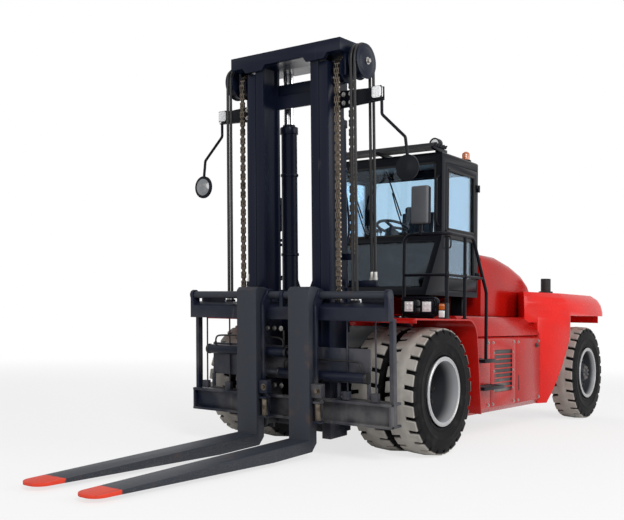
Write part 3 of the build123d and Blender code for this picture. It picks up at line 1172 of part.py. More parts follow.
ANCHOR_H = 60.0
ANCHOR_SIDE = 40.0
ANCHOR_LIP = 20.0
with BuildPart() as chain_anchors:
    for side in SIDES:
        back = CHAIN_SHEAVE_X - CHAIN_SHEAVE_R - CHAIN_T
        block((back - ANCHOR_LIP, back + CHAIN_T + ANCHOR_LIP), pair((OUTER_EDGE, CHAIN_Y + ANCHOR_SIDE), side),
              (CHAIN_ANCHOR_Z - ANCHOR_H, CHAIN_ANCHOR_Z))
        back = HOSE_SHEAVE_X - HOSE_SHEAVE_R - 2 * HOSE_R
        block((back - ANCHOR_LIP / 2, back + 2 * HOSE_R + ANCHOR_LIP / 2), pair((OUTER_EDGE, HOSE_Y + ANCHOR_SIDE), side),
              (HOSE_ANCHOR_Z - ANCHOR_H, HOSE_ANCHOR_Z))
save(chain_anchors, "chain_anchors", MAST_PLACE)

# Carriage: a roof-shaped upper bar, a lower channel, the roller plates and the shaft's ears
CARRIAGE_PLATE = 36.0
PLATE_Y = (INNER_EDGE - FLANGE_W - MOVE_GAP - CARRIAGE_PLATE, INNER_EDGE - FLANGE_W - MOVE_GAP)
PLATE_X = RAIL_BACK + RAIL_PLATE + 26.0
FACE_X = RAIL_FRONT + 12.0
FACE_T = 20.0
UPPER_SLOPE = UPPER_LIP + 45.0
LOWER_DEPTH = 110.0
LOWER_FLANGE = 22.0
LOWER_IN = OUTER_EDGE + ROLLER_BOSS_T + 12.0
END_POST = 40.0
POS_BAR = 60.0
ANCHOR_X = (CHAIN_FRONT_X - 30.0, CHAIN_FRONT_X + 25.0)
ANCHOR_STEP = UPPER_LIP + 20.0
EAR_Y = (-BAR_HALF + 20.0, 0.0, BAR_HALF - 20.0)
EAR_HALF = 20.0
EAR_X = (SHAFT_X - 56.0, SHAFT_X + 41.0)
EAR_R = 50.0
with BuildPart() as carriage_frame:
    slab([(UPPER_FRONT, UPPER_LOW), (UPPER_FRONT, UPPER_LIP), (FACE_X, UPPER_SLOPE), (FACE_X, UPPER_LOW)],
         (-BAR_HALF, BAR_HALF))
    block((FACE_X, FACE_X + FACE_T), (-BAR_HALF, BAR_HALF), (LOWER_LOW, LOWER_TOP))
    block((FACE_X, FACE_X + FACE_T), (-POS_REACH, POS_REACH), (POS_Z[1] - POS_BAR, POS_Z[0] + POS_BAR))
    for side in SIDES:
        for z in (LOWER_LOW, LOWER_TOP - LOWER_FLANGE):
            block((FACE_X - LOWER_DEPTH, FACE_X + FACE_T), pair((LOWER_IN, BAR_HALF), side), (z, z + LOWER_FLANGE))
        block((FACE_X - LOWER_DEPTH, FACE_X), pair((LOWER_IN, LOWER_IN + LOWER_FLANGE), side), (LOWER_LOW, LOWER_TOP))
        block((PLATE_X, FACE_X + FACE_T), pair(PLATE_Y, side), (LOWER_LOW, UPPER_SLOPE))
        block((FACE_X - END_POST, FACE_X + FACE_T), pair((BAR_HALF - END_POST, BAR_HALF), side), (LOWER_LOW, UPPER_LOW + FACE_T))
        for y, half in ((CHAIN_Y, CHAIN_W / 2), (HOSE_Y, HOSE_PITCH)):
            slab([(ANCHOR_X[0], UPPER_LOW), (ANCHOR_X[0], ANCHOR_TOP), (ANCHOR_X[1], ANCHOR_TOP), (ANCHOR_X[1], ANCHOR_STEP),
                  (FACE_X + FACE_T / 4, ANCHOR_STEP), (FACE_X + FACE_T / 4, UPPER_LOW)], pair(about(y, half), side))
    for y in EAR_Y:
        slab([(EAR_X[0], UPPER_LIP), (EAR_X[0], SHAFT_Z), (EAR_X[1], SHAFT_Z), (EAR_X[1], UPPER_LIP - FACE_T)],
             about(y, EAR_HALF))
        bar_y(SHAFT_X, SHAFT_Z, EAR_R, about(y, EAR_HALF))
        bar_y(SHAFT_X, SHAFT_Z, SHAFT_R + RUN_FIT, about(y, EAR_HALF + MOVE_GAP), Mode.SUBTRACT)
save(carriage_frame, "carriage_frame", MAST_PLACE)

ROLLER_R = (RAIL_FRONT - INNER_BACK - 2 * RAIL_PLATE) / 2 - SEAT
ROLLER_Z = (480.0, 1400.0)
ROLLER_SIDE = 5.0
with BuildPart() as carriage_rollers:
    for side in SIDES:
        for z in ROLLER_Z:
            bar_y((INNER_BACK + RAIL_FRONT) / 2, z, ROLLER_R,
                  pair((PLATE_Y[1], INNER_WEB - RAIL_PLATE / 2 - ROLLER_SIDE), side))
save(carriage_rollers, "carriage_rollers", MAST_PLACE)

with BuildPart() as fork_shaft:
    bar_y(SHAFT_X, SHAFT_Z, SHAFT_R, (-BAR_HALF, BAR_HALF))
save(fork_shaft, "fork_shaft", MAST_PLACE)

POS_GLAND_Y = 60.0
POS_CLAMP = 20.0
POS_CLAMP_H = 30.0
with BuildPart() as positioner_barrels:
    for side, z in zip(SIDES, POS_Z):
        bar_y(POS_X, z, POS_BARREL_R, pair((-POS_REACH, POS_GLAND_Y), side))
        bar_y(POS_X, z, POS_ROD_R + RUN_FIT, pair((-POS_REACH + POS_GLAND_Y, POS_GLAND_Y), side), Mode.SUBTRACT)
        for y in (-POS_REACH + POS_CLAMP, POS_CLAMP):
            block((FACE_X + FACE_T, POS_X - POS_CLAMP_H), pair(about(y, POS_CLAMP), side), about(z, POS_CLAMP_H))
save(positioner_barrels, "positioner_barrels", MAST_PLACE)

# Forks: a tapered blade, a heel, a shank and the boss that slides on the shaft
HEEL_R = 70.0
TIP_ROUND = 98.0
TAPER_FROM = 500.0
FORK_BACK = FORK_FRONT - FORK_T
BOSS_R = 60.0
BOSS_DROP = 90.0
POS_BLOCK = 50.0
POS_BLOCK_H = 40.0
POS_ROD_LENGTH = 840.0
SHANK_BEVEL = 30.0
for side, hand, z in zip(SIDES, HANDS, POS_Z):
    inner = FORK_Y - FORK_W / 2
    limits = pair((inner, inner + FORK_W), side)
    with BuildPart() as fork:
        with BuildSketch(Plane.XY.offset(FORK_LOW)) as blade:
            with BuildLine():
                FilletPolyline((FORK_FRONT, limits[0]), (TIP_X, limits[0]), (TIP_X, limits[1]), (FORK_FRONT, limits[1]),
                               radius=TIP_ROUND)
                Line((FORK_FRONT, limits[0]), (FORK_FRONT, limits[1]))
            make_face()
        extrude(blade.sketch, amount=FORK_T)
        slab([(FORK_FRONT + TAPER_FROM, FORK_LOW), (TIP_X + MOVE_GAP, TIP_Z - TIP_T), (TIP_X + MOVE_GAP, 0),
              (FORK_FRONT + TAPER_FROM, 0)], (limits[0] - MOVE_GAP, limits[1] + MOVE_GAP), Mode.SUBTRACT)
        slab([(FORK_BACK, FORK_TOP), (FORK_FRONT - SHANK_BEVEL, FORK_TOP), (FORK_FRONT, FORK_TOP - SHANK_BEVEL),
              (FORK_FRONT, FORK_LOW), (FORK_BACK + HEEL_R, FORK_LOW), (FORK_BACK, FORK_LOW + HEEL_R)], limits)
        slab([(FORK_BACK, SHAFT_Z - BOSS_DROP), (FORK_BACK, FORK_TOP), (SHAFT_X, SHAFT_Z + BOSS_R - SEAT),
              (SHAFT_X, SHAFT_Z - BOSS_R + SEAT)], limits)
        bar_y(SHAFT_X, SHAFT_Z, BOSS_R, limits)
        bar_y(SHAFT_X, SHAFT_Z, SHAFT_R + RUN_FIT, limits, Mode.SUBTRACT)
        block((POS_X - POS_ROD_R - MOVE_GAP, FORK_BACK), pair((inner, inner + POS_BLOCK), side), about(z, POS_BLOCK_H))
        bar_y(POS_X, z, POS_ROD_R, pair((inner - POS_ROD_LENGTH, inner + POS_BLOCK_H), side))
    save(fork, f"fork_{hand}", MAST_PLACE)

# Tilt cylinders, drawn along their own line from the chassis pin to the mast pin
mast_pin = Vector(TILT_MAST_X * math.cos(TILT) + (TILT_MAST_Z - TYRE_R) * math.sin(TILT), 0,
                  TYRE_R + (TILT_MAST_Z - TYRE_R) * math.cos(TILT) - TILT_MAST_X * math.sin(TILT))
chassis_pin = Vector(TILT_CHASSIS_X, 0, TILT_CHASSIS_Z)
pin_reach = (mast_pin - chassis_pin).length
lift_angle = math.degrees(math.atan2(mast_pin.Z - chassis_pin.Z, mast_pin.X - chassis_pin.X))
TILT_PLACE = BODY_PLACE * Location(tuple(chassis_pin), (0, -lift_angle, 0))
BARREL_END = pin_reach - 352.0
BARREL_START = 120.0
BARREL_NECK_R = 45.0
BARREL_FLOOR = 70.0
BARREL_EYE_R = 62.0
EYE_HALF = 28.0
TILT_GLAND = 8.0
TILT_GLAND_L = 70.0
ROD_IN = 280.0
ROD_EYE_WALL = 26.0
ROD_NECK = 120.0
ROD_NECK_R = 32.0
with BuildPart() as tilt_barrels:
    for side in SIDES:
        y = side * TILT_Y
        bar_y(0, 0, BARREL_EYE_R, about(y, EYE_HALF))
        bar_x(y, 0, BARREL_NECK_R, (BARREL_NECK_R, BARREL_START + SEAT))
        bar_x(y, 0, TILT_BARREL_R, (BARREL_START, BARREL_END))
        bar_x(y, 0, TILT_BARREL_R + TILT_GLAND, (BARREL_END - TILT_GLAND_L, BARREL_END))
        bar_x(y, 0, TILT_ROD_R + RUN_FIT, (BARREL_START + BARREL_FLOOR, BARREL_END), Mode.SUBTRACT)
        bar_y(0, 0, TILT_PIN_R + RUN_FIT, about(y, EYE_HALF), Mode.SUBTRACT)
save(tilt_barrels, "tilt_barrels", TILT_PLACE)

with BuildPart() as tilt_rods:
    eye_r = TILT_PIN_R + TILT_EYE_SLACK
    for side in SIDES:
        y = side * TILT_Y
        bar_x(y, 0, TILT_ROD_R, (BARREL_END - ROD_IN, pin_reach - ROD_NECK))
        bar_x(y, 0, ROD_NECK_R, (pin_reach - ROD_NECK - SEAT, pin_reach - eye_r - SEAT))
        bar_y(pin_reach, 0, eye_r + ROD_EYE_WALL, about(y, EYE_HALF))
        bar_y(pin_reach, 0, eye_r, about(y, EYE_HALF), Mode.SUBTRACT)
save(tilt_rods, "tilt_rods", TILT_PLACE)

BRACKET_LOW = 1000.0
BRACKET_FOOT = 85.0
BRACKET_HEAD = 55.0
BRACKET_GAP = 50.0
with BuildPart() as tilt_brackets:
    for side in SIDES:
        bar_y(TILT_CHASSIS_X, TILT_CHASSIS_Z, TILT_PIN_R, pair((FRAME_HALF, TILT_Y + BRACKET_GAP), side))
        slab([(TILT_CHASSIS_X - BRACKET_FOOT, BRACKET_LOW), (TILT_CHASSIS_X - BRACKET_HEAD, TILT_CHASSIS_Z + BRACKET_HEAD),
              (TILT_CHASSIS_X + BRACKET_HEAD, TILT_CHASSIS_Z + BRACKET_HEAD), (TILT_CHASSIS_X + BRACKET_FOOT, BRACKET_LOW)],
             pair((FRAME_HALF, TILT_Y - BRACKET_GAP), side))
save(tilt_brackets, "tilt_brackets")
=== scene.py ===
"""Dresses a heavy diesel forklift truck: finishes for its parts, tyres, chains, hoses, cab trim and lamps."""
import json
import math

import bmesh
import bpy
from mathutils import Matrix, Vector


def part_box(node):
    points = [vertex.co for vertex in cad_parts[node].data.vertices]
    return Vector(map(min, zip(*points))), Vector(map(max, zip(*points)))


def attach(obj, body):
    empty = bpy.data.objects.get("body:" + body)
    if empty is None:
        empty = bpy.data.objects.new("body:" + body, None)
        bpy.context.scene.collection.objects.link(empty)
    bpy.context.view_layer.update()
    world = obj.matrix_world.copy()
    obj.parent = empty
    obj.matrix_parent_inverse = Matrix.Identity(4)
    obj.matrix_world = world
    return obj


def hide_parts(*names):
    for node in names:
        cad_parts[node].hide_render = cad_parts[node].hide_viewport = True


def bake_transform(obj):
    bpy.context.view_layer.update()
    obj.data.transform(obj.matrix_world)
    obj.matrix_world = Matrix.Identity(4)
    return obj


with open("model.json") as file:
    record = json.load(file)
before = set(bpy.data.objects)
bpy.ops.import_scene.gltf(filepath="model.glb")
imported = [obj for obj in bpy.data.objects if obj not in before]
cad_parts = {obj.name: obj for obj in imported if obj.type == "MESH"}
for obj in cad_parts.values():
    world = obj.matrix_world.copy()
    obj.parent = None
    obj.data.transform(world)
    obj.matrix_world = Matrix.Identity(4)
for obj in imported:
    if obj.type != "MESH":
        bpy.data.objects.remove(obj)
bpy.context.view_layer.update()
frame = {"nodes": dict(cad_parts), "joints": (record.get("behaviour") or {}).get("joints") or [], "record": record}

bl_info = {
    "name": "Heavy forklift truck",
    "version": (1, 0, 0),
    "blender": (4, 5, 0),
    "location": "3D View > Sidebar > Forklift",
    "description": "Dresses the solids of a heavy forklift truck",
    "category": "Object",
}

SIDES = (1, -1)
HANDS = {1: "left", -1: "right"}
UP = Vector((0, 0, 1))
FORWARD = Vector((1, 0, 0))
ACROSS = Vector((0, 1, 0))


def joint(name):
    """A joint of the truck by its name."""
    return next(entry for entry in frame["joints"] if entry["name"] == name)


def middle(node):
    """The middle of a node's box."""
    low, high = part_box(node)
    return (low + high) / 2


# The truck's own coordinates start on the ground under the drive axle. The mast's are the
# same ones before it leans forward about that axle.
AXLE = middle("drive_axle")
AXLE.y = 0
LIFT = Vector(joint("mast_lift")["axis"])
LEAN = math.atan2(LIFT.x, LIFT.z)
TRUCK = Matrix.Translation((AXLE.x, 0, 0))
MAST = Matrix.Translation(AXLE) @ Matrix.Rotation(LEAN, 4, "Y") @ Matrix.Translation((0, 0, -AXLE.z))
STEER_X = middle("steer_rim_left").x - AXLE.x


class Limits:
    """The corners of a node's box in the coordinates of the truck or of the mast."""

    def __init__(self, node, place=TRUCK):
        back = place.inverted()
        points = [back @ vertex.co for vertex in frame["nodes"][node].data.vertices]
        self.low = Vector([min(point[axis] for point in points) for axis in range(3)])
        self.high = Vector([max(point[axis] for point in points) for axis in range(3)])
        self.middle = (self.low + self.high) / 2


def length_property(name, description, metres):
    """A length that a user may change."""
    return bpy.props.FloatProperty(name=name, description=description, default=metres, subtype="DISTANCE",
                                   unit="LENGTH")


class TruckSizes(bpy.types.PropertyGroup):
    """Sizes of what is added to the solids"""
    edge: length_property("Edge", "Rounding of steel edges", 0.004)
    cast_edge: length_property("Cast edge", "Rounding of cast and pressed edges", 0.014)
    lug_gap: length_property("Lug gap", "Gap between two tread lugs", 0.042)
    chain_pitch: length_property("Chain pitch", "From pin to pin of the lift chains", 0.04445)
    hose: length_property("Hose", "Outside radius of a mast hose", 0.014)
    seal: length_property("Seal", "Width of a window seal", 0.022)
    tip_paint: length_property("Tip paint", "Painted length of a fork's tip", 0.235)
    lug_count: bpy.props.IntProperty(name="Lugs", description="Tread lugs round one shoulder", default=26)
    wheel_nuts: bpy.props.IntProperty(name="Wheel nuts", description="Nuts round a wheel", default=12)


def colour_property(name, description, *default):
    """A colour that a user may change."""
    return bpy.props.FloatVectorProperty(name=name, description=description, default=default, subtype="COLOR",
                                         min=0, max=1)


class TruckColours(bpy.types.PropertyGroup):
    """Colours of the truck"""
    red: colour_property("Body red", "Paint of the body and counterweight", 0.68, 0.010, 0.006)
    black: colour_property("Black", "Paint of the cab, rails and brackets", 0.006, 0.007, 0.011)
    mast: colour_property("Mast", "Paint of the mast and carriage", 0.006, 0.009, 0.022)
    fork: colour_property("Fork", "Paint of the forks", 0.020, 0.024, 0.034)
    tip: colour_property("Tip", "Paint of the fork tips", 0.72, 0.05, 0.02)
    silver: colour_property("Rim", "Paint of the wheel rims", 0.42, 0.43, 0.45)
    rubber: colour_property("Rubber", "Tyres and hoses", 0.010, 0.010, 0.011)
    dust: colour_property("Dust", "Dust on the tread and low panels", 0.50, 0.47, 0.43)
    steel: colour_property("Chain steel", "Chain plates and pins", 0.30, 0.25, 0.20)
    frame: colour_property("Frame", "Paint of the frame and axles", 0.022, 0.023, 0.026)
    cloth: colour_property("Cloth", "Seat cloth", 0.024, 0.025, 0.030)
    plastic: colour_property("Plastic", "Cab mouldings", 0.030, 0.031, 0.035)
    tint: colour_property("Glass", "Tint of the windows", 0.80, 0.89, 0.95)
    amber: colour_property("Amber", "Beacon and signal lamps", 0.46, 0.10, 0.008)
    floor: colour_property("Floor", "The studio floor", 0.93, 0.93, 0.93)


class Wire:
    """A socket in a material, with arithmetic that adds Math nodes."""

    def __init__(self, tree, socket=None):
        self.tree = tree
        self.socket = socket

    def node(self, kind, settings=None, inputs=None, out=0):
        """Adds a node: its settings are set first, then its sockets, and one output comes back."""
        made = self.tree.nodes.new(kind)
        for name, value in (settings or {}).items():
            setattr(made, name, value)
        for key, value in (inputs or {}).items():
            if isinstance(value, Wire):
                self.tree.links.new(value.socket, made.inputs[key])
            else:
                made.inputs[key].default_value = value
        return Wire(self.tree, made.outputs[out])

    def output(self, name):
        """Another output of the same node."""
        return Wire(self.tree, self.socket.node.outputs[name])

    def end(self, kind, key, value):
        """Leads a wire into a node at the end of the tree, adding that node if there is none."""
        last = next((node for node in self.tree.nodes if node.bl_idname == kind), None)
        if last is None:
            last = self.tree.nodes.new(kind)
        self.tree.links.new(value.socket, last.inputs[key])

    def maths(self, operation, *values):
        """A Math node on wires or numbers."""
        return self.node("ShaderNodeMath", {"operation": operation}, dict(enumerate(values)))

    def __add__(self, other):
        return self.maths("ADD", self, other)

    def __sub__(self, other):
        return self.maths("SUBTRACT", self, other)

    def __rsub__(self, other):
        return self.maths("SUBTRACT", other, self)

    def __mul__(self, other):
        return self.maths("MULTIPLY", self, other)

    __radd__ = __add__
    __rmul__ = __mul__

    def least(self, other):
        """The smaller of two values."""
        return self.maths("MINIMUM", self, other)

    def most(self, other):
        """The larger of two values."""
        return self.maths("MAXIMUM", self, other)

    def between(self, low, high):
        """Zero below low, one above high, smooth between them."""
        return self.node("ShaderNodeMapRange", {"interpolation_type": "SMOOTHSTEP"},
                         {"Value": self, "From Min": low, "From Max": high})


class Finish:
    """A material under construction, its pattern read from the piece's own coordinates."""

    def __init__(self, name):
        self.material = bpy.data.materials.new(name)
        self.material.use_nodes = True
        tree = self.material.node_tree
        self.shader = next(node for node in tree.nodes if node.type == "BSDF_PRINCIPLED")
        self.wire = Wire(tree)
        self.point = self.wire.node("ShaderNodeTexCoord", out="Object")

    def set(self, **sockets):
        """Sets the shader's sockets, with underscores for the blanks in their names."""
        for name, value in sockets.items():
            socket = self.shader.inputs[name.replace("_", " ")]
            if isinstance(value, Wire):
                self.wire.tree.links.new(value.socket, socket)
            else:
                socket.default_value = value

    def along(self, axis, point=None):
        """One coordinate of a point on the surface."""
        return self.wire.node("ShaderNodeSeparateXYZ", inputs={0: point or self.point}, out=axis)

    def radius(self, centre_x):
        """Distance from the axle of a wheel."""
        x = self.along("X") - centre_x
        z = self.along("Z") - AXLE.z
        return x.maths("SQRT", x * x + z * z)

    def noise(self, scale, detail=3.0, point=None):
        """Soft noise of a scale."""
        return self.wire.node("ShaderNodeTexNoise",
                              inputs={"Vector": point or self.point, "Scale": scale, "Detail": detail})

    def ribs(self, direction, scale):
        """Waves across one direction, from zero to one."""
        return self.wire.node("ShaderNodeTexWave", {"bands_direction": direction},
                              {"Vector": self.point, "Scale": scale}, out=1)

    def scratches(self, scale, stretch):
        """Noise drawn out along one direction, as scratches are."""
        drawn = self.wire.node("ShaderNodeMapping", inputs={"Vector": self.point, "Scale": stretch})
        return self.noise(scale, 4.0, drawn)

    def mix(self, amount, *pair):
        """Two colours mixed by an amount."""
        first, second = [colour if isinstance(colour, Wire) else (*colour, 1.0) for colour in pair]
        return self.wire.node("ShaderNodeMix", {"data_type": "RGBA"}, {0: amount, 6: first, 7: second}, out=2)

    def bump(self, height, strength, distance):
        """A bump from a height."""
        return self.wire.node("ShaderNodeBump",
                              inputs={"Height": height, "Strength": strength, "Distance": distance})

    def placed(self, place):
        """Object coordinates brought back to the coordinates of the truck or the mast."""
        turn = place.inverted()
        return self.wire.node("ShaderNodeMapping", {"vector_type": "POINT"},
                              {"Vector": self.point, "Location": turn.translation, "Rotation": turn.to_euler()})


def colours():
    """The colours set for the scene."""
    return bpy.context.scene.truck_colours


def sizes():
    """The sizes set for the scene."""
    return bpy.context.scene.truck_sizes


def shade(colour, factor):
    """A colour made lighter or darker."""
    return tuple(min(1.0, part * factor) for part in colour)


# Colours that no user changes: steel where paint is rubbed off, scraped fork, fork rust, silvered glass darkened
# as a painted dark reflection
RUBBED_STEEL = (0.16, 0.15, 0.145)
SCRAPED_FORK = (0.20, 0.19, 0.18)
FORK_RUST = (0.11, 0.055, 0.03)
DARK_REFLECTION_SILVER = (0.20, 0.21, 0.22)
# Within this radius a rim is black: painted shade on the disc and hub
RIM_SHADE_RADIUS = 0.262


def paint(name, colour, gloss, dusty=0.25, dust_top=1.1, orange_peel=0.05, worn=0.0, coat=0.0, shine=0.3):
    """Brushed or sprayed paint: dust low down, soft stains, and worn spots where it is rubbed."""
    finish = Finish(name)
    broad = finish.noise(2.2, 5.0)
    fine = finish.noise(46.0, 3.0)
    low = 1 - finish.along("Z").between(0.1, dust_top)
    grime = (low * broad.between(0.38, 0.72) * dusty).least(1.0)
    stained = finish.mix(broad.between(0.30, 0.75) * 0.55, shade(colour, 0.80), shade(colour, 1.12))
    base = finish.mix(grime, stained, colours().dust)
    rough = gloss + grime * 0.35 + (fine - 0.5) * 0.10
    if worn:
        rubbed = finish.scratches(9.0, (1.0, 1.0, 0.18)).between(0.70 - 0.12 * worn, 0.78) * worn
        base = finish.mix(rubbed, base, RUBBED_STEEL)
        rough = rough + rubbed * 0.15
    finish.set(Base_Color=base, Roughness=rough, Normal=finish.bump(fine, orange_peel, 0.002), Coat_Weight=coat,
               Coat_Roughness=0.08, Specular_IOR_Level=shine)
    return finish.material


def rim_paint(name, centre_x, face, shade_depth):
    """Silver wheel paint with painted shade: darker down the barrel, and black on the disc and hub."""
    finish = Finish(name)
    radius = finish.radius(centre_x)
    across = finish.along("Y")
    depth = face - across.maths("ABSOLUTE", across)
    broad = finish.noise(7.0, 5.0)
    dark = shade(colours().black, 1.5)
    base = finish.mix(broad.between(0.45, 0.75) * 0.3, colours().silver, colours().dust)
    # Painted shade: the barrel darkens the deeper it lies behind the rim's face.
    base = finish.mix(depth.between(0.006, shade_depth) * 0.94, base, dark)
    # Painted shade: black on the disc and hub within the shade radius.
    base = finish.mix(1 - radius.between(RIM_SHADE_RADIUS - 0.004, RIM_SHADE_RADIUS + 0.004), base, dark)
    finish.set(Base_Color=base, Metallic=0.25, Roughness=0.32 + broad * 0.25, Specular_IOR_Level=0.25,
               Normal=finish.bump(finish.noise(60.0), 0.06, 0.001))
    return finish.material


def tread_rubber(name, centre_x):
    """Tyre rubber: black on the walls, pale with dust on the tread."""
    finish = Finish(name)
    radius = finish.radius(centre_x)
    broad = finish.noise(9.0, 6.0)
    fine = finish.noise(120.0, 3.0)
    face = radius.between(AXLE.z - 0.032, AXLE.z - 0.012)
    wall = broad.between(0.50, 0.80) * 0.03
    dusty = (face * (0.55 + broad * 0.5)).most(wall).least(0.92)
    base = finish.mix(dusty, colours().rubber, colours().dust)
    finish.set(Base_Color=base, Roughness=0.55 + dusty * 0.35, Specular_IOR_Level=0.04,
               Normal=finish.bump(fine + broad, 0.22, 0.002))
    return finish.material


def fork_paint(name):
    """Dark fork paint, gritty and scraped on the blade, with painted tips."""
    finish = Finish(name)
    point = finish.placed(MAST)
    forward = finish.along("X", point)
    height = finish.along("Z", point)
    tip_start = Limits("fork_left", MAST).high.x - sizes().tip_paint
    ragged = finish.noise(38.0, 4.0) * 0.03
    tip = (forward + ragged).between(tip_start, tip_start + 0.02)
    grit = finish.noise(150.0, 4.0)
    patches = finish.noise(6.0, 5.0)
    scraped = finish.scratches(12.0, (0.12, 1.6, 1.6)).between(0.55, 0.72)
    blade = (1 - height.between(0.20, 0.225)) * forward.between(1.05, 1.2)
    pale = blade * (grit.between(0.52, 0.66) * 0.30 + scraped * patches * 0.22)
    base = finish.mix(pale.least(0.6), colours().fork, SCRAPED_FORK)
    base = finish.mix(patches.between(0.60, 0.74) * 0.28, base, FORK_RUST)
    base = finish.mix(tip * (1 - scraped * 0.55), base, colours().tip)
    finish.set(Base_Color=base, Roughness=0.46 + grit * 0.25, Metallic=0.10, Specular_IOR_Level=0.35,
               Normal=finish.bump(grit, 0.35, 0.0015))
    return finish.material


def bare_metal(name, colour, rough, stain=0.4):
    """Machined or plated steel with a little oil on it."""
    finish = Finish(name)
    broad = finish.noise(14.0, 4.0)
    fine = finish.noise(180.0, 2.0)
    base = finish.mix(broad.between(0.45, 0.7) * stain, colour, shade(colour, 0.35))
    finish.set(Base_Color=base, Metallic=1.0, Roughness=rough + (broad - 0.5) * 0.2,
               Normal=finish.bump(fine, 0.04, 0.0005))
    return finish.material


def moulding(name, colour, rough=0.55, grain=0.2):
    """Grained rubber or plastic."""
    finish = Finish(name)
    grains = finish.noise(320.0, 2.0)
    broad = finish.noise(8.0, 4.0)
    base = finish.mix(broad * 0.5, colour, shade(colour, 1.7))
    finish.set(Specular_IOR_Level=0.3, Base_Color=base, Roughness=rough + (broad - 0.5) * 0.15,
               Normal=finish.bump(grains, grain, 0.0008))
    return finish.material


def woven_cloth(name):
    """Seat cloth: a close weave with soft pile."""
    finish = Finish(name)
    weave = finish.ribs("Y", 210.0) * finish.ribs("X", 210.0)
    broad = finish.noise(18.0, 4.0)
    base = finish.mix(weave * 0.6 + broad * 0.3, colours().cloth, shade(colours().cloth, 3.2))
    finish.set(Base_Color=base, Roughness=0.92, Normal=finish.bump(weave, 0.5, 0.001), Sheen_Weight=0.3)
    return finish.material


def window_pane(name, tint):
    """Thin tinted glass that lets the light through."""
    finish = Finish(name)
    wire = finish.wire
    smear = finish.noise(3.0, 5.0)
    finish.set(Base_Color=(0.86, 0.93, 1.0, 1), Roughness=0.03, Metallic=1.0)
    clear = wire.node("ShaderNodeBsdfTransparent", inputs={"Color": (*tint, 1)})
    glint = wire.node("ShaderNodeFresnel", inputs={"IOR": 1.45})
    amount = (glint * 0.6 + smear.between(0.45, 0.85) * 0.02).least(1.0)
    gloss = Wire(wire.tree, finish.shader.outputs[0])
    mixed = wire.node("ShaderNodeMixShader", inputs={0: amount, 1: clear, 2: gloss})
    wire.end("ShaderNodeOutputMaterial", "Surface", mixed)
    return finish.material


def lamp_lens(name, colour, glow):
    """A moulded lamp lens with fine ribs."""
    finish = Finish(name)
    ribs = finish.ribs("Y", 46.0)
    broad = finish.noise(30.0)
    base = finish.mix(ribs * 0.35 + broad * 0.15, colour, shade(colour, 0.55))
    finish.set(Base_Color=base, Roughness=0.12, Coat_Weight=0.6, Normal=finish.bump(ribs, 0.3, 0.002),
               Emission_Color=(*colour, 1), Emission_Strength=glow)
    return finish.material


def mirror_glass(name):
    """Silvered glass darkened as a painted dark reflection, with a little dust."""
    finish = Finish(name)
    dusty = finish.noise(20.0, 5.0).between(0.5, 0.8)
    finish.set(Base_Color=finish.mix(dusty * 0.3, DARK_REFLECTION_SILVER, colours().dust), Metallic=1.0,
               Roughness=0.04 + dusty * 0.25)
    return finish.material


FINISHES = {}


def keep(maker, name, *looks, **more):
    """Makes a finish and keeps it by its record slot's name, or its own."""
    FINISHES[name] = maker(name, *looks, **more)


def make_finishes():
    """Makes every finish of the truck."""
    tone = colours()
    steer_axle = AXLE.x + STEER_X
    # The sheet-metal red is the body red darkened as painted shade, the shade that the cab and mast cast on the
    # hood, side boxes and fenders.
    keep(paint, "red_paint", shade(tone.red, 0.66), 0.26, dusty=0.06, dust_top=0.8, coat=0.10, shine=0.16)
    # The casting red is the body red brightened as painted sunlight, the sun on the counterweight's side.
    keep(paint, "red_casting", shade(tone.red, 1.15), 0.26, dusty=0.05, dust_top=0.8, orange_peel=0.12,
         coat=0.08, shine=0.16)
    keep(paint, "black_paint", tone.black, 0.30, dusty=0.05, shine=0.10)
    keep(paint, "mast_paint", tone.mast, 0.32, dusty=0.10, worn=0.30, shine=0.12)
    keep(paint, "carriage_paint", shade(tone.mast, 1.15), 0.42, dusty=0.28, dust_top=1.6, worn=0.65, shine=0.2)
    keep(fork_paint, "fork_steel")
    # The last number is how deep in a rim's barrel the painted shade is full.
    keep(rim_paint, "drive_rim", AXLE.x, Limits("drive_rims_left").high.y, 0.16)
    keep(rim_paint, "steer_rim", steer_axle, Limits("steer_rim_left").high.y, 0.07)
    keep(bare_metal, "chrome_rod", (0.78, 0.78, 0.79), 0.16, 0.25)
    keep(bare_metal, "chain_steel", shade(tone.steel, 0.45), 0.46, 0.8)
    keep(bare_metal, "pin_steel", shade(tone.steel, 1.9), 0.36, 0.5)
    keep(bare_metal, "bolt_steel", (0.46, 0.45, 0.43), 0.36)
    keep(paint, "frame_steel", tone.frame, 0.52, dusty=0.55, dust_top=1.3)
    keep(tread_rubber, "drive_rubber", AXLE.x)
    keep(tread_rubber, "steer_rubber", steer_axle)
    keep(moulding, "hose_rubber", tone.rubber, 0.42, 0.12)
    keep(moulding, "seal_rubber", shade(tone.rubber, 0.8), 0.6, 0.15)
    keep(woven_cloth, "seat_cloth")
    keep(moulding, "cab_plastic", tone.plastic)
    keep(window_pane, "window_glass", tone.tint)
    # The toe window's tint is darkened as painted shade of the dark cab inside behind it.
    keep(window_pane, "toe_tint", shade(tone.tint, 0.34))
    keep(lamp_lens, "lamp_white", (0.80, 0.81, 0.82), 0.10)
    keep(lamp_lens, "lamp_red", (0.62, 0.012, 0.012), 0.10)
    keep(lamp_lens, "beacon_amber", tone.amber, 0.12)
    keep(mirror_glass, "mirror_glass")
    keep(moulding, "mirror_grey", (0.075, 0.079, 0.088), 0.45, 0.1)
    keep(paint, "soot_paint", (0.018, 0.017, 0.017), 0.66, dusty=0.1, orange_peel=0.3)


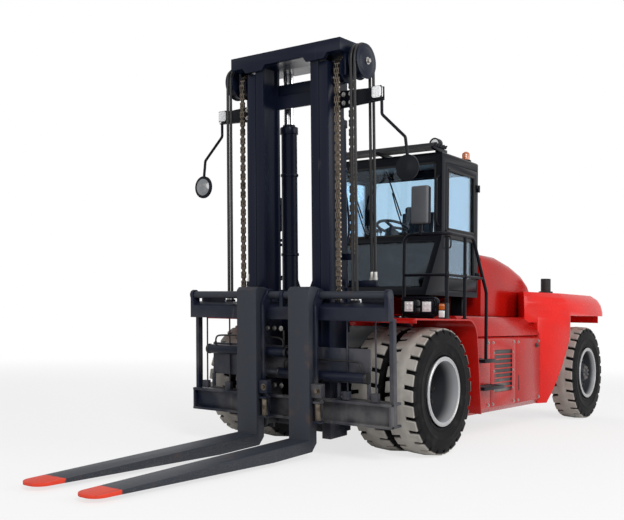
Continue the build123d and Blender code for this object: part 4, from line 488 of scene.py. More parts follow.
# Finishes that part from the record slot's own: node, finish
NODE_FINISH = {
    "drive_rims_left": "drive_rim", "drive_rims_right": "drive_rim", "steer_rim_left": "steer_rim",
    "steer_rim_right": "steer_rim", "drive_tyres_left": "drive_rubber", "drive_tyres_right": "drive_rubber",
    "steer_tyre_left": "steer_rubber", "steer_tyre_right": "steer_rubber", "carriage_frame": "carriage_paint",
    "exhaust_stack": "soot_paint",
}
# Nodes with wider rounded edges, and nodes left sharp
CAST_NODES = ("counterweight", "hood", "side_boxes", "cab_shell", "seat_base")
SHARP_NODES = ("cab_glass", "door_glass", "lift_rods", "tilt_rods", "beacon", "handrails", "mast_hoses",
               "lift_chains", "mast_mirrors", "fork_shaft")
SMOOTH_ANGLE = math.radians(32)
EDGE_ANGLE = math.radians(38)


def smooth_group():
    """A node group that smooths a surface but for its sharp edges."""
    group = bpy.data.node_groups.new("smooth_but_edges", "GeometryNodeTree")
    group.interface.new_socket("Geometry", in_out="INPUT", socket_type="NodeSocketGeometry")
    group.interface.new_socket("Geometry", in_out="OUTPUT", socket_type="NodeSocketGeometry")
    wire = Wire(group)
    start = wire.node("NodeGroupInput")
    faces = wire.node("GeometryNodeSetShadeSmooth", {"domain": "FACE"},
                      {"Geometry": start, "Shade Smooth": True})
    angle = wire.node("GeometryNodeInputMeshEdgeAngle")
    soft = wire.node("FunctionNodeCompare", {"data_type": "FLOAT", "operation": "LESS_THAN"},
                     {0: angle, 1: SMOOTH_ANGLE})
    edges = wire.node("GeometryNodeSetShadeSmooth", {"domain": "EDGE"},
                      {"Geometry": faces, "Shade Smooth": soft})
    wire.end("NodeGroupOutput", 0, edges)
    return group


class Workpiece:
    """A piece being modelled in the coordinates of the truck or of the upright mast."""

    def __init__(self, place=TRUCK):
        self.mesh = bmesh.new()
        self.place = place

    def block(self, low, high, edge=0.004, segments=2):
        """A box with rounded edges."""
        low, high = Vector(low), Vector(high)
        matrix = Matrix.Translation((low + high) / 2) @ Matrix.Diagonal((*(high - low), 1))
        self.round_off(bmesh.ops.create_cube(self.mesh, size=1, matrix=matrix)["verts"], edge, segments)

    def round_off(self, vertices, edge, segments=2, sides=None):
        """Rounds the edges between some vertices: all of them, or those of faces with a number of sides."""
        if edge:
            edges = [line for line in {line for vertex in vertices for line in vertex.link_edges}
                     if sides is None or any(len(face.verts) == sides for face in line.link_faces)]
            bmesh.ops.bevel(self.mesh, geom=edges, offset=edge, offset_type="OFFSET", segments=segments,
                            profile=0.5, affect="EDGES", material=-1, clamp_overlap=True)

    def bar(self, start, end, radius, sides=24, end_radius=None, edge=0.0):
        """A round bar or cone from one point to another."""
        start, end = Vector(start), Vector(end)
        turn = (end - start).to_track_quat("Z", "Y").to_matrix().to_4x4()
        made = bmesh.ops.create_cone(self.mesh, cap_ends=True, cap_tris=False, segments=sides, radius1=radius,
                                     radius2=radius if end_radius is None else end_radius,
                                     depth=(end - start).length,
                                     matrix=Matrix.Translation((start + end) / 2) @ turn)["verts"]
        self.round_off(made, edge, sides=sides)

    def bolt(self, at, axis, across):
        """A hexagon bolt's head on its washer, standing out along an axis from a face."""
        at, axis = Vector(at), Vector(axis).normalized()
        self.bar(at, at + axis * across * 0.12, across * 0.85, 16)
        self.bar(at, at + axis * across * 0.62, across * 0.56, 6, across * 0.52)

    def turn(self, profile, centre, axis, steps=64, closed=True):
        """A (radius, along) profile turned about an axis through a centre."""
        centre, axis = Vector(centre), Vector(axis).normalized()
        out = axis.orthogonal().normalized()
        points = [self.mesh.verts.new(centre + out * radius + axis * along) for radius, along in profile]
        lines = [self.mesh.edges.new(ends) for ends in zip(points, points[1:])]
        if closed:
            lines.append(self.mesh.edges.new((points[-1], points[0])))
        bmesh.ops.spin(self.mesh, geom=points + lines, cent=centre, axis=axis, angle=2 * math.pi, steps=steps,
                       use_merge=True, use_duplicate=False)

    def pipe(self, route, radius):
        """A round pipe along a route of points."""
        curve = bpy.data.curves.new("pipe_route", "CURVE")
        curve.dimensions = "3D"
        curve.bevel_depth = radius
        curve.bevel_resolution = 3
        curve.resolution_u = 6
        curve.use_fill_caps = True
        line = curve.splines.new("NURBS")
        line.points.add(len(route) - 1)
        for knot, point in zip(line.points, route):
            knot.co = (*point, 1)
        line.order_u = 3
        line.use_endpoint_u = True
        holder = bpy.data.objects.new("pipe_route", curve)
        drawn = bpy.data.meshes.new_from_object(holder)
        self.mesh.from_mesh(drawn)
        bpy.data.objects.remove(holder)
        bpy.data.curves.remove(curve)
        bpy.data.meshes.remove(drawn)

    def outline(self, points, along, edge=0.0):
        """A flat outline of points, made solid along a vector."""
        corners = [self.mesh.verts.new(point) for point in points]
        face = self.mesh.faces.new(corners)
        made = bmesh.ops.extrude_face_region(self.mesh, geom=[face])["geom"]
        grown = [item for item in made if isinstance(item, bmesh.types.BMVert)]
        bmesh.ops.translate(self.mesh, vec=Vector(along), verts=grown)
        self.round_off(corners + grown, edge)

    def slab(self, points, y, thick, edge):
        """A plate that stands lengthwise, from its (x, z) outline."""
        self.outline([(x, y, z) for x, z in points], ACROSS * thick, edge)

    def mirrored(self):
        """Adds the same again on the truck's other side."""
        every = list(self.mesh.verts) + list(self.mesh.edges) + list(self.mesh.faces)
        made = bmesh.ops.duplicate(self.mesh, geom=every)["geom"]
        copies = [item for item in made if isinstance(item, bmesh.types.BMVert)]
        faces = [item for item in made if isinstance(item, bmesh.types.BMFace)]
        bmesh.ops.scale(self.mesh, vec=(1, -1, 1), verts=copies)
        bmesh.ops.reverse_faces(self.mesh, faces=faces)
        return self

    def finish(self, name, body, finish, slot, replaced=(), smooth=SMOOTH_ANGLE):
        """Puts the piece in its place on the truck and gives it its finish; it rides on a body only when one body
        is named, and is left on no body otherwise.
        """
        bmesh.ops.remove_doubles(self.mesh, verts=list(self.mesh.verts), dist=1e-5)
        bmesh.ops.recalc_face_normals(self.mesh, faces=list(self.mesh.faces))
        self.mesh.transform(self.place)
        data = bpy.data.meshes.new(name)
        self.mesh.to_mesh(data)
        self.mesh.free()
        data.shade_smooth()
        data.set_sharp_from_angle(angle=smooth)
        piece = bpy.data.objects.new(name, data)
        bpy.context.scene.collection.objects.link(piece)
        data.materials.append(FINISHES[finish])
        if isinstance(body, str):
            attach(piece, body)
        else:
            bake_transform(piece)
        if replaced:
            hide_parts(*replaced)
        return piece


class TRUCK_OT_finishes(bpy.types.Operator):
    """Gives every solid of the truck its finish"""
    bl_idname = "truck.finishes"
    bl_label = "Finishes"

    def execute(self, context):
        make_finishes()
        slots = {entry["node"]: entry["material_slot"] for entry in frame["record"]["subparts"]}
        for name, node in frame["nodes"].items():
            node.data.materials.clear()
            node.data.materials.append(FINISHES[NODE_FINISH.get(name, slots[name])])
        return {"FINISHED"}


class TRUCK_OT_edges(bpy.types.Operator):
    """Rounds the edges of every solid that shows"""
    bl_idname = "truck.edges"
    bl_label = "Rounded edges"

    def execute(self, context):
        smooth = smooth_group()
        for name, node in frame["nodes"].items():
            if node.hide_render:
                continue
            weld = node.modifiers.new("weld", "WELD")
            weld.merge_threshold = 2e-5
            if name not in SHARP_NODES:
                flat = node.modifiers.new("flat", "DECIMATE")
                flat.decimate_type = "DISSOLVE"
                flat.angle_limit = math.radians(0.3)
                rounded = node.modifiers.new("rounded", "BEVEL")
                rounded.width = sizes().cast_edge if name in CAST_NODES else sizes().edge
                rounded.segments = 3 if name in CAST_NODES else 2
                rounded.limit_method = "ANGLE"
                rounded.angle_limit = EDGE_ANGLE
                rounded.use_clamp_overlap = True
            node.modifiers.new("smooth", "NODES").node_group = smooth
        return {"FINISHED"}


# Tyre section: radius from the axle, half width, from the bead out to the crown
TYRE_WALL = (
    (0.3010, 0.118), (0.3365, 0.1340), (0.3420, 0.1420), (0.3500, 0.1455), (0.3570, 0.1430), (0.3640, 0.1440),
    (0.3660, 0.1475), (0.3720, 0.1475), (0.3740, 0.1450), (0.4050, 0.1535), (0.4400, 0.1560), (0.4435, 0.1578),
    (0.4520, 0.1578), (0.4555, 0.1560), (0.4900, 0.1555), (0.5200, 0.1520), (0.5400, 0.1440),
)
TREAD_FLOOR = 0.556
TREAD_HALF = 0.1430
CROWN_HALF = 0.056
CROWN_DIP = 0.004
LUG_EDGE = 0.006
LUG_INNER = CROWN_HALF - 0.016
LUG_ROOT = TREAD_FLOOR - 0.020
LUG_FLARE = 0.009
SHOULDER_DROP = 0.012
SLOT_LEAN = 0.14


def tyre(piece, centre, radius):
    """A tyre about a centre: a round carcass, a plain crown and shoulder lugs parted by slots."""
    tread = [(TREAD_FLOOR, TREAD_HALF - 0.012), (TREAD_FLOOR, CROWN_HALF - 0.004), (radius - 0.008, CROWN_HALF),
             (radius - CROWN_DIP, CROWN_HALF - 0.010), (radius, 0.0)]
    half = list(TYRE_WALL) + tread
    piece.turn(half + [(out, -across) for out, across in reversed(half[:-1])], centre, ACROSS, 96)
    count = sizes().lug_count
    step = 2 * math.pi / count
    middle_y = (LUG_INNER + TREAD_HALF) / 2
    middle_z = (LUG_ROOT + radius) / 2
    size = (radius * step - sizes().lug_gap, TREAD_HALF - LUG_INNER, radius - LUG_ROOT, 1)
    for side in SIDES:
        place = Matrix.Translation((0, side * middle_y, middle_z)) @ Matrix.Diagonal(size)
        for lug in range(count):
            turn = Matrix.Rotation(step * (lug + (0.5 if side > 0 else 0.0)), 4, "Y")
            made = bmesh.ops.create_cube(piece.mesh, size=1, matrix=place)["verts"]
            for vertex in made:
                top = vertex.co.z > middle_z
                if abs(vertex.co.y) > middle_y:
                    vertex.co.z -= SHOULDER_DROP if top else 3 * SHOULDER_DROP
                    vertex.co.y += side * (0.0 if top else LUG_FLARE)
                elif top:
                    vertex.co.z -= CROWN_DIP
                vertex.co.x += (abs(vertex.co.y) - LUG_INNER) * SLOT_LEAN
            bmesh.ops.transform(piece.mesh, matrix=Matrix.Translation(centre) @ turn, verts=made)
            piece.round_off(made, LUG_EDGE, 1)


class TRUCK_OT_tyres(bpy.types.Operator):
    """Makes the six tyres with their tread"""
    bl_idname = "truck.tyres"
    bl_label = "Tyres"

    def execute(self, context):
        for hand in HANDS.values():
            twins = Limits(f"drive_tyres_{hand}")
            width = Limits(f"steer_tyre_{hand}")
            half = (width.high.y - width.low.y) / 2
            piece = Workpiece()
            for y in (twins.low.y + half, twins.high.y - half):
                tyre(piece, Vector((0, y, AXLE.z)), AXLE.z - 0.0005)
            piece.finish(f"drive_tread_{hand}", f"drive_wheel_{hand}", "drive_rubber", "tyre_rubber",
                         (f"drive_tyres_{hand}",))
            piece = Workpiece()
            tyre(piece, Vector((STEER_X, width.middle.y, AXLE.z)), AXLE.z - 0.0005)
            piece.finish(f"steer_tread_{hand}", f"steer_wheel_{hand}", "steer_rubber", "tyre_rubber",
                         (f"steer_tyre_{hand}",))
        return {"FINISHED"}


# Wheel trim: body, rim node and axle of each kind, then radius and depth behind the rim's face of its nuts
# and of its hub bolts
WHEELS = (
    ("drive", "drive_rims", 0.0, (0.262, 0.270), (0.115, 0.217)),
    ("steer", "steer_rim", STEER_X, (0.180, 0.121), (0.070, 0.034)),
)
NUT_SIZE = 0.034
HUB_NUTS = 8
HUB_NUT_SIZE = 0.024
LOCK_RING_R = 0.309
LOCK_RING_T = 0.007
LOCK_RING_SIDES = 8
VALVE = (0.275, 0.010)


class TRUCK_OT_wheels(bpy.types.Operator):
    """Makes the wheel nuts, lock rings, hub bolts and valves"""
    bl_idname = "truck.wheels"
    bl_label = "Wheel trim"

    def execute(self, context):
        section = []
        for corner in range(LOCK_RING_SIDES):
            angle = 2 * math.pi * corner / LOCK_RING_SIDES
            section.append((LOCK_RING_R + LOCK_RING_T * math.cos(angle), LOCK_RING_T * math.sin(angle)))
        for side, hand in HANDS.items():
            out = ACROSS * side
            for kind, node, x, nuts, hub in WHEELS:
                rim = Limits(f"{node}_{hand}")
                face = rim.high.y if side > 0 else rim.low.y
                centre = Vector((x, 0, AXLE.z))
                trim = Workpiece()
                ring = Workpiece()
                for count, start, (reach, depth), size in ((sizes().wheel_nuts, 0.0, nuts, NUT_SIZE),
                                                           (HUB_NUTS, 0.5, hub, HUB_NUT_SIZE)):
                    for nut in range(count):
                        angle = 2 * math.pi * (nut + start) / count
                        spot = Vector((math.cos(angle), 0, math.sin(angle)))
                        trim.bolt(centre + spot * reach + ACROSS * (face - side * depth), out, size)
                ring.turn([(radius, side * along) for radius, along in section],
                          centre + ACROSS * (face - side * 0.004), ACROSS, 72)
                base = centre + FORWARD * VALVE[0] + ACROSS * (face - side * 0.09)
                ring.bar(base, base + out * 0.075, VALVE[1], 10, VALVE[1] * 0.6)
                trim.finish(f"{kind}_nuts_{hand}", f"{kind}_wheel_{hand}", "frame_steel", "rim_silver")
                ring.finish(f"{kind}_lock_ring_{hand}", f"{kind}_wheel_{hand}", "bolt_steel", "rim_silver")
        return {"FINISHED"}


LINK_T = 0.0052
PLATE_T = 1.7 * LINK_T
PIN_SIDES = 8
CHAIN_DEPTH = 0.026
CHAIN_WIDTH = 0.052
# Where the plates of every other link stand across a chain
INNER_PLATES = (-CHAIN_WIDTH / 2 + 3 * LINK_T, CHAIN_WIDTH / 2 - 3 * LINK_T)
OUTER_PLATES = (-CHAIN_WIDTH / 2 + LINK_T, 0.0, CHAIN_WIDTH / 2 - LINK_T)


def link_plate(piece, low, high, y):
    """A waisted chain plate round two pins."""
    up = (high - low).normalized()
    out = ACROSS.cross(up).normalized()
    mid = (low + high) / 2
    points = []
    for end, reach in ((high, CHAIN_DEPTH / 2), (low, -CHAIN_DEPTH / 2)):
        for turn in range(4):
            angle = math.pi * turn / 3
            points.append(end + out * (reach * math.cos(angle)) + up * (reach * 0.92 * math.sin(angle)))
        points.append(mid - out * (reach * 0.66))
    piece.outline([point + ACROSS * (y - PLATE_T / 2) for point in points], ACROSS * PLATE_T)


def chain_run(name, ride, pins, middle_y, replaced=()):
    """A run of chain along a row of pin places: dark plates on bright pins."""
    plates = Workpiece(MAST)
    bars = Workpiece(MAST)
    reach = ACROSS * (CHAIN_WIDTH / 2 + 0.002)
    for index, (low, high) in enumerate(zip(pins, pins[1:])):
        for offset in OUTER_PLATES if index % 2 else INNER_PLATES:
            link_plate(plates, low, high, middle_y + offset)
    for pin in pins:
        place = pin + ACROSS * middle_y
        bars.bar(place - reach, place + reach, CHAIN_DEPTH * 0.30, PIN_SIDES)
    plates.finish(name, ride, "chain_steel", "chain_steel", replaced)
    bars.finish(f"{name}_pins", ride, "pin_steel", "chain_steel")


class TRUCK_OT_chains(bpy.types.Operator):
    """Makes the lift chains, link by link, over their sheaves"""
    bl_idname = "truck.chains"
    bl_label = "Lift chains"

    def execute(self, context):
        chains = Limits("lift_chains", MAST)
        anchors = Limits("chain_anchors", MAST)
        front = chains.high.x - CHAIN_DEPTH / 2
        back = chains.low.x + CHAIN_DEPTH / 2
        reach = (front - back) / 2
        centre = Vector(((front + back) / 2, 0, chains.high.z - CHAIN_DEPTH / 2 - reach))
        pitch = sizes().chain_pitch
        over = round(math.pi * reach / pitch)
        arc = [centre + Vector((math.cos(math.pi * step / over), 0, math.sin(math.pi * step / over))) * reach
               for step in range(over + 1)]
        for side, hand in HANDS.items():
            y = side * (chains.high.y - CHAIN_WIDTH / 2 - 0.002)
            for run, x, low, foot, replaced in (("front", front, chains.low.z, "carriage", ("lift_chains",)),
                                                ("back", back, anchors.high.z, "mast_outer", ())):
                count = round((centre.z - low) / pitch)
                pins = [Vector((x, 0, low + (centre.z - low) * step / count)) for step in range(count + 1)]
                ride = (foot, "mast_inner", MAST @ (pins[0] + ACROSS * y), MAST @ (pins[-1] + ACROSS * y))
                chain_run(f"chain_{run}_{hand}", ride, pins, y, replaced)
            chain_run(f"chain_over_{hand}", "mast_inner", arc, y)
        return {"FINISHED"}


HOSE_PAIR = 0.040
HOSE_Y = 0.745
HOSE_SIDES = 16
# Height of the rear runs' ends on the outer mast
HOSE_FOOT = 1.65
FERRULE = 0.075


class TRUCK_OT_hoses(bpy.types.Operator):
    """Makes the hose pairs over their sheaves with their end fittings"""
    bl_idname = "truck.hoses"
    bl_label = "Mast hoses"

    def execute(self, context):
        hoses = Limits("mast_hoses", MAST)
        radius = sizes().hose
        front = hoses.high.x - radius
        back = hoses.low.x + radius
        top = hoses.high.z - radius - (front - back) / 2
        ends = (("front", "carriage", front, hoses.low.z, ("mast_hoses",)),
                ("back", "mast_outer", back, HOSE_FOOT, ()))
        for side, hand in HANDS.items():
            runs = {run: Workpiece(MAST) for run in ("front", "back")}
            fittings = {body: Workpiece(MAST) for body in ("carriage", "mast_outer")}
            bend = Workpiece(MAST)
            for offset in (-HOSE_PAIR / 2, HOSE_PAIR / 2):
                y = side * HOSE_Y + offset
                for run, body, x, low, replaced in ends:
                    runs[run].bar((x, y, low), (x, y, top), radius, HOSE_SIDES)
                    fittings[body].bar((x, y, low), (x, y, low + FERRULE), radius * 1.30, HOSE_SIDES,
                                       edge=0.002)
                    fittings[body].bar((x, y, low), (x, y, low + FERRULE * 0.35), radius * 1.6, 6)
                corners = []
                for corner in range(HOSE_SIDES):
                    angle = 2 * math.pi * corner / HOSE_SIDES
                    place = (front + radius * math.cos(angle), y + radius * math.sin(angle), top)
                    corners.append(bend.mesh.verts.new(place))
                lines = [bend.mesh.edges.new(pair) for pair in zip(corners, corners[1:] + corners[:1])]
                bmesh.ops.spin(bend.mesh, geom=corners + lines, cent=((front + back) / 2, y, top),
                               axis=-ACROSS, angle=math.pi, steps=24, use_merge=False, use_duplicate=False)
            for run, body, x, low, replaced in ends:
                ride = (body, "mast_inner", MAST @ Vector((x, side * HOSE_Y, low + FERRULE)),
                        MAST @ Vector((x, side * HOSE_Y, top)))
                runs[run].finish(f"hose_{run}_{hand}", ride, "hose_rubber", "hose_rubber", replaced)
            bend.finish(f"hose_over_{hand}", "mast_inner", "hose_rubber", "hose_rubber")
            for body, piece in fittings.items():
                piece.finish(f"hose_fittings_{body}_{hand}", body, "bolt_steel", "chain_steel")
        return {"FINISHED"}


# Middle of the outer mast's rails, and the ring of small bolts round each roller pin there
RAIL_X = 0.665
ROLLER_RING = 0.058
# Pipe of a lift barrel, from the foot of its axis
GLAND_PIPE = ((-0.06, 0.03, 1.98), (-0.10, 0.05, 2.03), (-0.10, 0.05, 2.3), (-0.07, 0.03, 2.55),
              (-0.05, 0.02, 2.6))


class TRUCK_OT_mast_trim(bpy.types.Operator):
    """Makes the crosshead's bolts, sheave caps, cylinder glands, pipes and the outer mast's bolts"""
    bl_idname = "truck.mast_trim"
    bl_label = "Mast trim"

    def execute(self, context):
        inner = Limits("mast_inner_frame", MAST)
        outer = Limits("mast_outer_frame", MAST)
        sheaves = Limits("sheaves", MAST)
        barrels = Limits("lift_barrels", MAST)
        arms = Limits("lamp_arms", MAST)
        bolts = Workpiece(MAST)
        for y in (0.09, 0.30, 0.50):
            bolts.bolt((inner.high.x - 0.30, y, inner.high.z), UP, 0.034)
        pin = Vector((sheaves.middle.x, sheaves.high.y, sheaves.high.z - 0.163))
        bolts.bolt(pin, ACROSS, 0.040)
        bolts.mirrored().finish("crosshead_bolts", "mast_inner", "bolt_steel", "chain_steel")
        caps = Workpiece(MAST)
        caps.turn([(0.030, -0.006), (0.118, -0.006), (0.126, 0.0), (0.112, 0.006), (0.06, 0.010),
                   (0.030, 0.010)], pin - ACROSS * 0.012, ACROSS, 48)
        caps.mirrored().finish("sheave_caps", "mast_inner", "mast_paint", "mast_paint")
        glands = Workpiece(MAST)
        rod = Vector((barrels.middle.x, barrels.high.y - 0.092, 0))
        for drop, tall, radius in ((0.002, 0.028, 0.064), (0.50, 0.03, 0.090), (1.30, 0.03, 0.090)):
            low = barrels.high.z - drop
            high = low + tall
            glands.turn([(0.0565, low), (radius - 0.004, low), (radius, low + 0.006), (radius, high - 0.006),
                         (radius - 0.004, high), (0.0565, high)], rod, UP, 40)
        glands.pipe([rod + Vector(point) for point in GLAND_PIPE], 0.011)
        glands.mirrored().finish("lift_glands", "mast_outer", "mast_paint", "mast_paint")
        brackets = Workpiece(MAST)
        for y in (outer.high.y + 0.05, outer.high.y + 0.13):
            for z in (arms.middle.z - 0.035, arms.middle.z + 0.045):
                brackets.bolt((arms.low.x + 0.016, y, z), FORWARD, 0.026)
        for z in (0.56, outer.high.z - 0.15):
            pin = Vector((RAIL_X, outer.high.y, z))
            brackets.bolt(pin, ACROSS, 0.060)
            for step in range(6):
                angle = math.radians(60 * step)
                spot = Vector((math.cos(angle), 0, math.sin(angle)))
                brackets.bolt(pin + spot * ROLLER_RING, ACROSS, 0.018)
        brackets.mirrored().finish("mast_bolts", "mast_outer", "bolt_steel", "chain_steel")
        return {"FINISHED"}


CARRIAGE_FACE = 0.832
CHANNEL_FLANGES = ((0.361, 0.387), (0.551, 0.577))
CHANNEL_DEPTH = 0.048
BACK_PLATE = ((0.765, 0.815, 1.385), (0.785, 1.130, 1.545))
# Positioner cylinders: axis, then each one's side and height, its ports, and its pipe from the barrel's front
POSITIONER_X = 0.884
POSITIONERS = ((1, 0.98), (-1, 0.79))
PORT_Y = (-0.86, 0.0)
PORT_PIPE = ((-0.045, -0.86, 0.07), (-0.045, -0.86, 0.12), (-0.050, -0.80, 0.14), (-0.050, -0.50, 0.14),
             (-0.050, -0.10, 0.14), (-0.045, 0.0, 0.12), (-0.045, 0.0, 0.07))


class TRUCK_OT_carriage_trim(bpy.types.Operator):
    """Makes the carriage's bolts, flanges, back plates, latch rods and cylinder pipes"""
    bl_idname = "truck.carriage_trim"
    bl_label = "Carriage trim"

    def execute(self, context):
        carriage = Limits("carriage_frame", MAST)
        barrels = Limits("positioner_barrels", MAST)
        face = CARRIAGE_FACE
        bolts = Workpiece(MAST)
        for y in (0.06, 0.14, 0.22):
            for z in (0.66, 1.20):
                bolts.bolt((face, y, z), FORWARD, 0.028)
        bolts.mirrored().finish("carriage_bolts", "carriage", "bolt_steel", "chain_steel")
        trim = Workpiece(MAST)
        trim.block(*BACK_PLATE, 0.004)
        trim.block(BACK_PLATE[0], (face - 0.014, BACK_PLATE[1][1], BACK_PLATE[0][2] + 0.020), 0.003)
        for low, high in CHANNEL_FLANGES:
            trim.block((face - 0.004, 0.0, low), (face + CHANNEL_DEPTH, carriage.high.y, high), 0.005)
        trim.block((face - 0.004, carriage.high.y - 0.024, CHANNEL_FLANGES[0][0]),
                   (face + CHANNEL_DEPTH - 0.004, carriage.high.y, CHANNEL_FLANGES[1][1]), 0.005)
        for y in (0.70, 1.00):
            trim.block((face, y - 0.035, 0.585), (face + 0.05, y + 0.035, 0.66), 0.006)
            trim.bar((face + 0.010, y, 0.65), (face + 0.010, y, 1.292), 0.008, 12)
        for y in (0.60, 0.92):
            trim.bar((face + 0.001, y, 0.60), (face + 0.001, y, 0.735), 0.018, 16, edge=0.003)
        trim.mirrored().finish("carriage_latches", "carriage", "carriage_paint", "mast_paint")
        pipes = Workpiece(MAST)
        x = barrels.high.x - 0.012
        for side, z in POSITIONERS:
            for y in PORT_Y:
                pipes.bar((x - 0.045, side * y, z + 0.036), (x - 0.045, side * y, z + 0.075), 0.013, 6)
            pipes.pipe([(x + out, side * across, z + up) for out, across, up in PORT_PIPE], 0.009)
            for y, bore in ((-0.93, 0.0), (0.045, 0.0255)):
                pipes.turn([(bore, -0.014), (0.046, -0.014), (0.0495, -0.010), (0.0495, 0.010), (0.046, 0.014),
                            (bore, 0.014)], (POSITIONER_X, side * y, z), ACROSS, 32)
        pipes.finish("positioner_pipes", "carriage", "hose_rubber", "hose_rubber")
        return {"FINISHED"}


FORK_Y = (0.189, 0.425)
GUIDE_Z = (0.600, 0.725)
GUIDE_X = (0.950, 1.028)
GUIDE_W = 0.105
STAY_W = 0.042
# Eye of each fork's stay arm: how far it stands out beside the fork
EYE_W = {1: 0.016, -1: 0.034}


class TRUCK_OT_fork_trim(bpy.types.Operator):
    """Makes the forks' collars, stay arms, guide brackets and guide rollers"""
    bl_idname = "truck.fork_trim"
    bl_label = "Fork trim"

    def execute(self, context):
        shaft = Limits("fork_shaft", MAST).middle
        low, high = GUIDE_Z
        back, front = GUIDE_X
        for side, hand in HANDS.items():
            fork = Workpiece(MAST)
            y0, y1 = sorted((side * FORK_Y[0], side * FORK_Y[1]))
            for y, wide in ((y0 - 0.008, 0.020), (y1 - 0.010, EYE_W[side] + 0.010)):
                fork.turn([(0.0385, 0), (0.053, 0), (0.058, 0.004), (0.058, wide - 0.004), (0.053, wide),
                           (0.0385, wide)], (shaft.x, y, shaft.z), ACROSS, 36)
            root = y1 - 0.004
            fork.slab([(shaft.x - 0.02, shaft.z - 0.066), (shaft.x + 0.066, shaft.z + 0.01),
                       (back + 0.034, 1.44), (back + 0.030, 1.36), (back, 1.35)], root,
                      EYE_W[side] + 0.002, 0.003)
            fork.slab([(back, 1.37), (back + 0.034, 1.43), (back + 0.030, high - 0.02),
                       (back + 0.006, high - 0.02)], root, STAY_W, 0.006)
            fork.block((back, root, low), (front, y1 + GUIDE_W, high), 0.008, 3)
            fork.block((back + 0.004, root, low - 0.225), (front - 0.05, y1 + GUIDE_W - 0.02, low + 0.02),
                       0.005)
            for z in (low - 0.05, low - 0.225):
                fork.block((back + 0.004, y1 + 0.02, z), (front + 0.002, y1 + GUIDE_W - 0.01, z + 0.02),
                           0.004)
            fork.finish(f"fork_guides_{hand}", f"fork_{hand}", "carriage_paint", "fork_steel")
            roller = Workpiece(MAST)
            pin = Vector((back + 0.046, y1 + 0.058, low))
            roller.bar(pin - UP * 0.205, pin - UP * 0.05, 0.030, 24, edge=0.004)
            roller.bolt((front, y1 + 0.070, (low + high) / 2), FORWARD, 0.036)
            roller.finish(f"fork_rollers_{hand}", f"fork_{hand}", "chain_steel", "chain_steel")
        return {"FINISHED"}


def seal(piece, window, axis, root, proud):
    """A rubber seal round a window that faces along an axis: it stands proud of its root there."""
    wide = sizes().seal
    low, high = [Vector((*corner[:axis], root, *corner[axis:])) for corner in window]
    for way in reversed([way for way in range(3) if way != axis]):
        for start, end in ((low[way], low[way] + wide), (high[way] - wide, high[way])):
            near, far = low.copy(), high.copy()
            near[axis], far[axis] = sorted((root, root + proud))
            near[way], far[way] = start, end
            piece.block(near, far, 0.004)


# Cab: its faces, then the corners of its windows in the plane that each one lies in
CAB_FACE = -0.820
CAB_BACK = -1.730
CAB_SIDE = 0.750
FRONT_WINDOW = ((-0.68, 2.16), (0.68, 2.95))
REAR_WINDOW = ((-0.66, 2.20), (0.66, 2.95))
SIDE_WINDOW = ((-1.68, 2.20), (-0.90, 2.92))
DOOR_PANES = (((-1.62, 2.23), (-0.96, 2.89)), ((-1.62, 1.70), (-0.96, 2.16)))
TOE_PANE = ((-0.81, 2.09), (-0.526, 1.61))
TOE_HALF = 0.675
# Door handle and grab bars: how far they stand out, height
HANDLE_X = -0.94
HANDLE = ((0.004, 2.03), (0.045, 2.03), (0.05, 2.07), (0.05, 2.13), (0.045, 2.155), (0.004, 2.155))
GRAB_Y = 0.722
GRAB_BAR = ((0.002, 2.26), (0.07, 2.28), (0.07, 2.36), (0.07, 2.70), (0.07, 2.78), (0.002, 2.80))
# Wipers: arm and blade, from the pivot
WIPER_ARM = ((0, 0, 0), (0.016, -0.09, 0.22), (0.014, -0.16, 0.46))
WIPER_BLADE = ((0.002, -0.05, 0.20), (0.004, -0.15, 0.46), (0.002, -0.25, 0.70))
LEVERS = 4


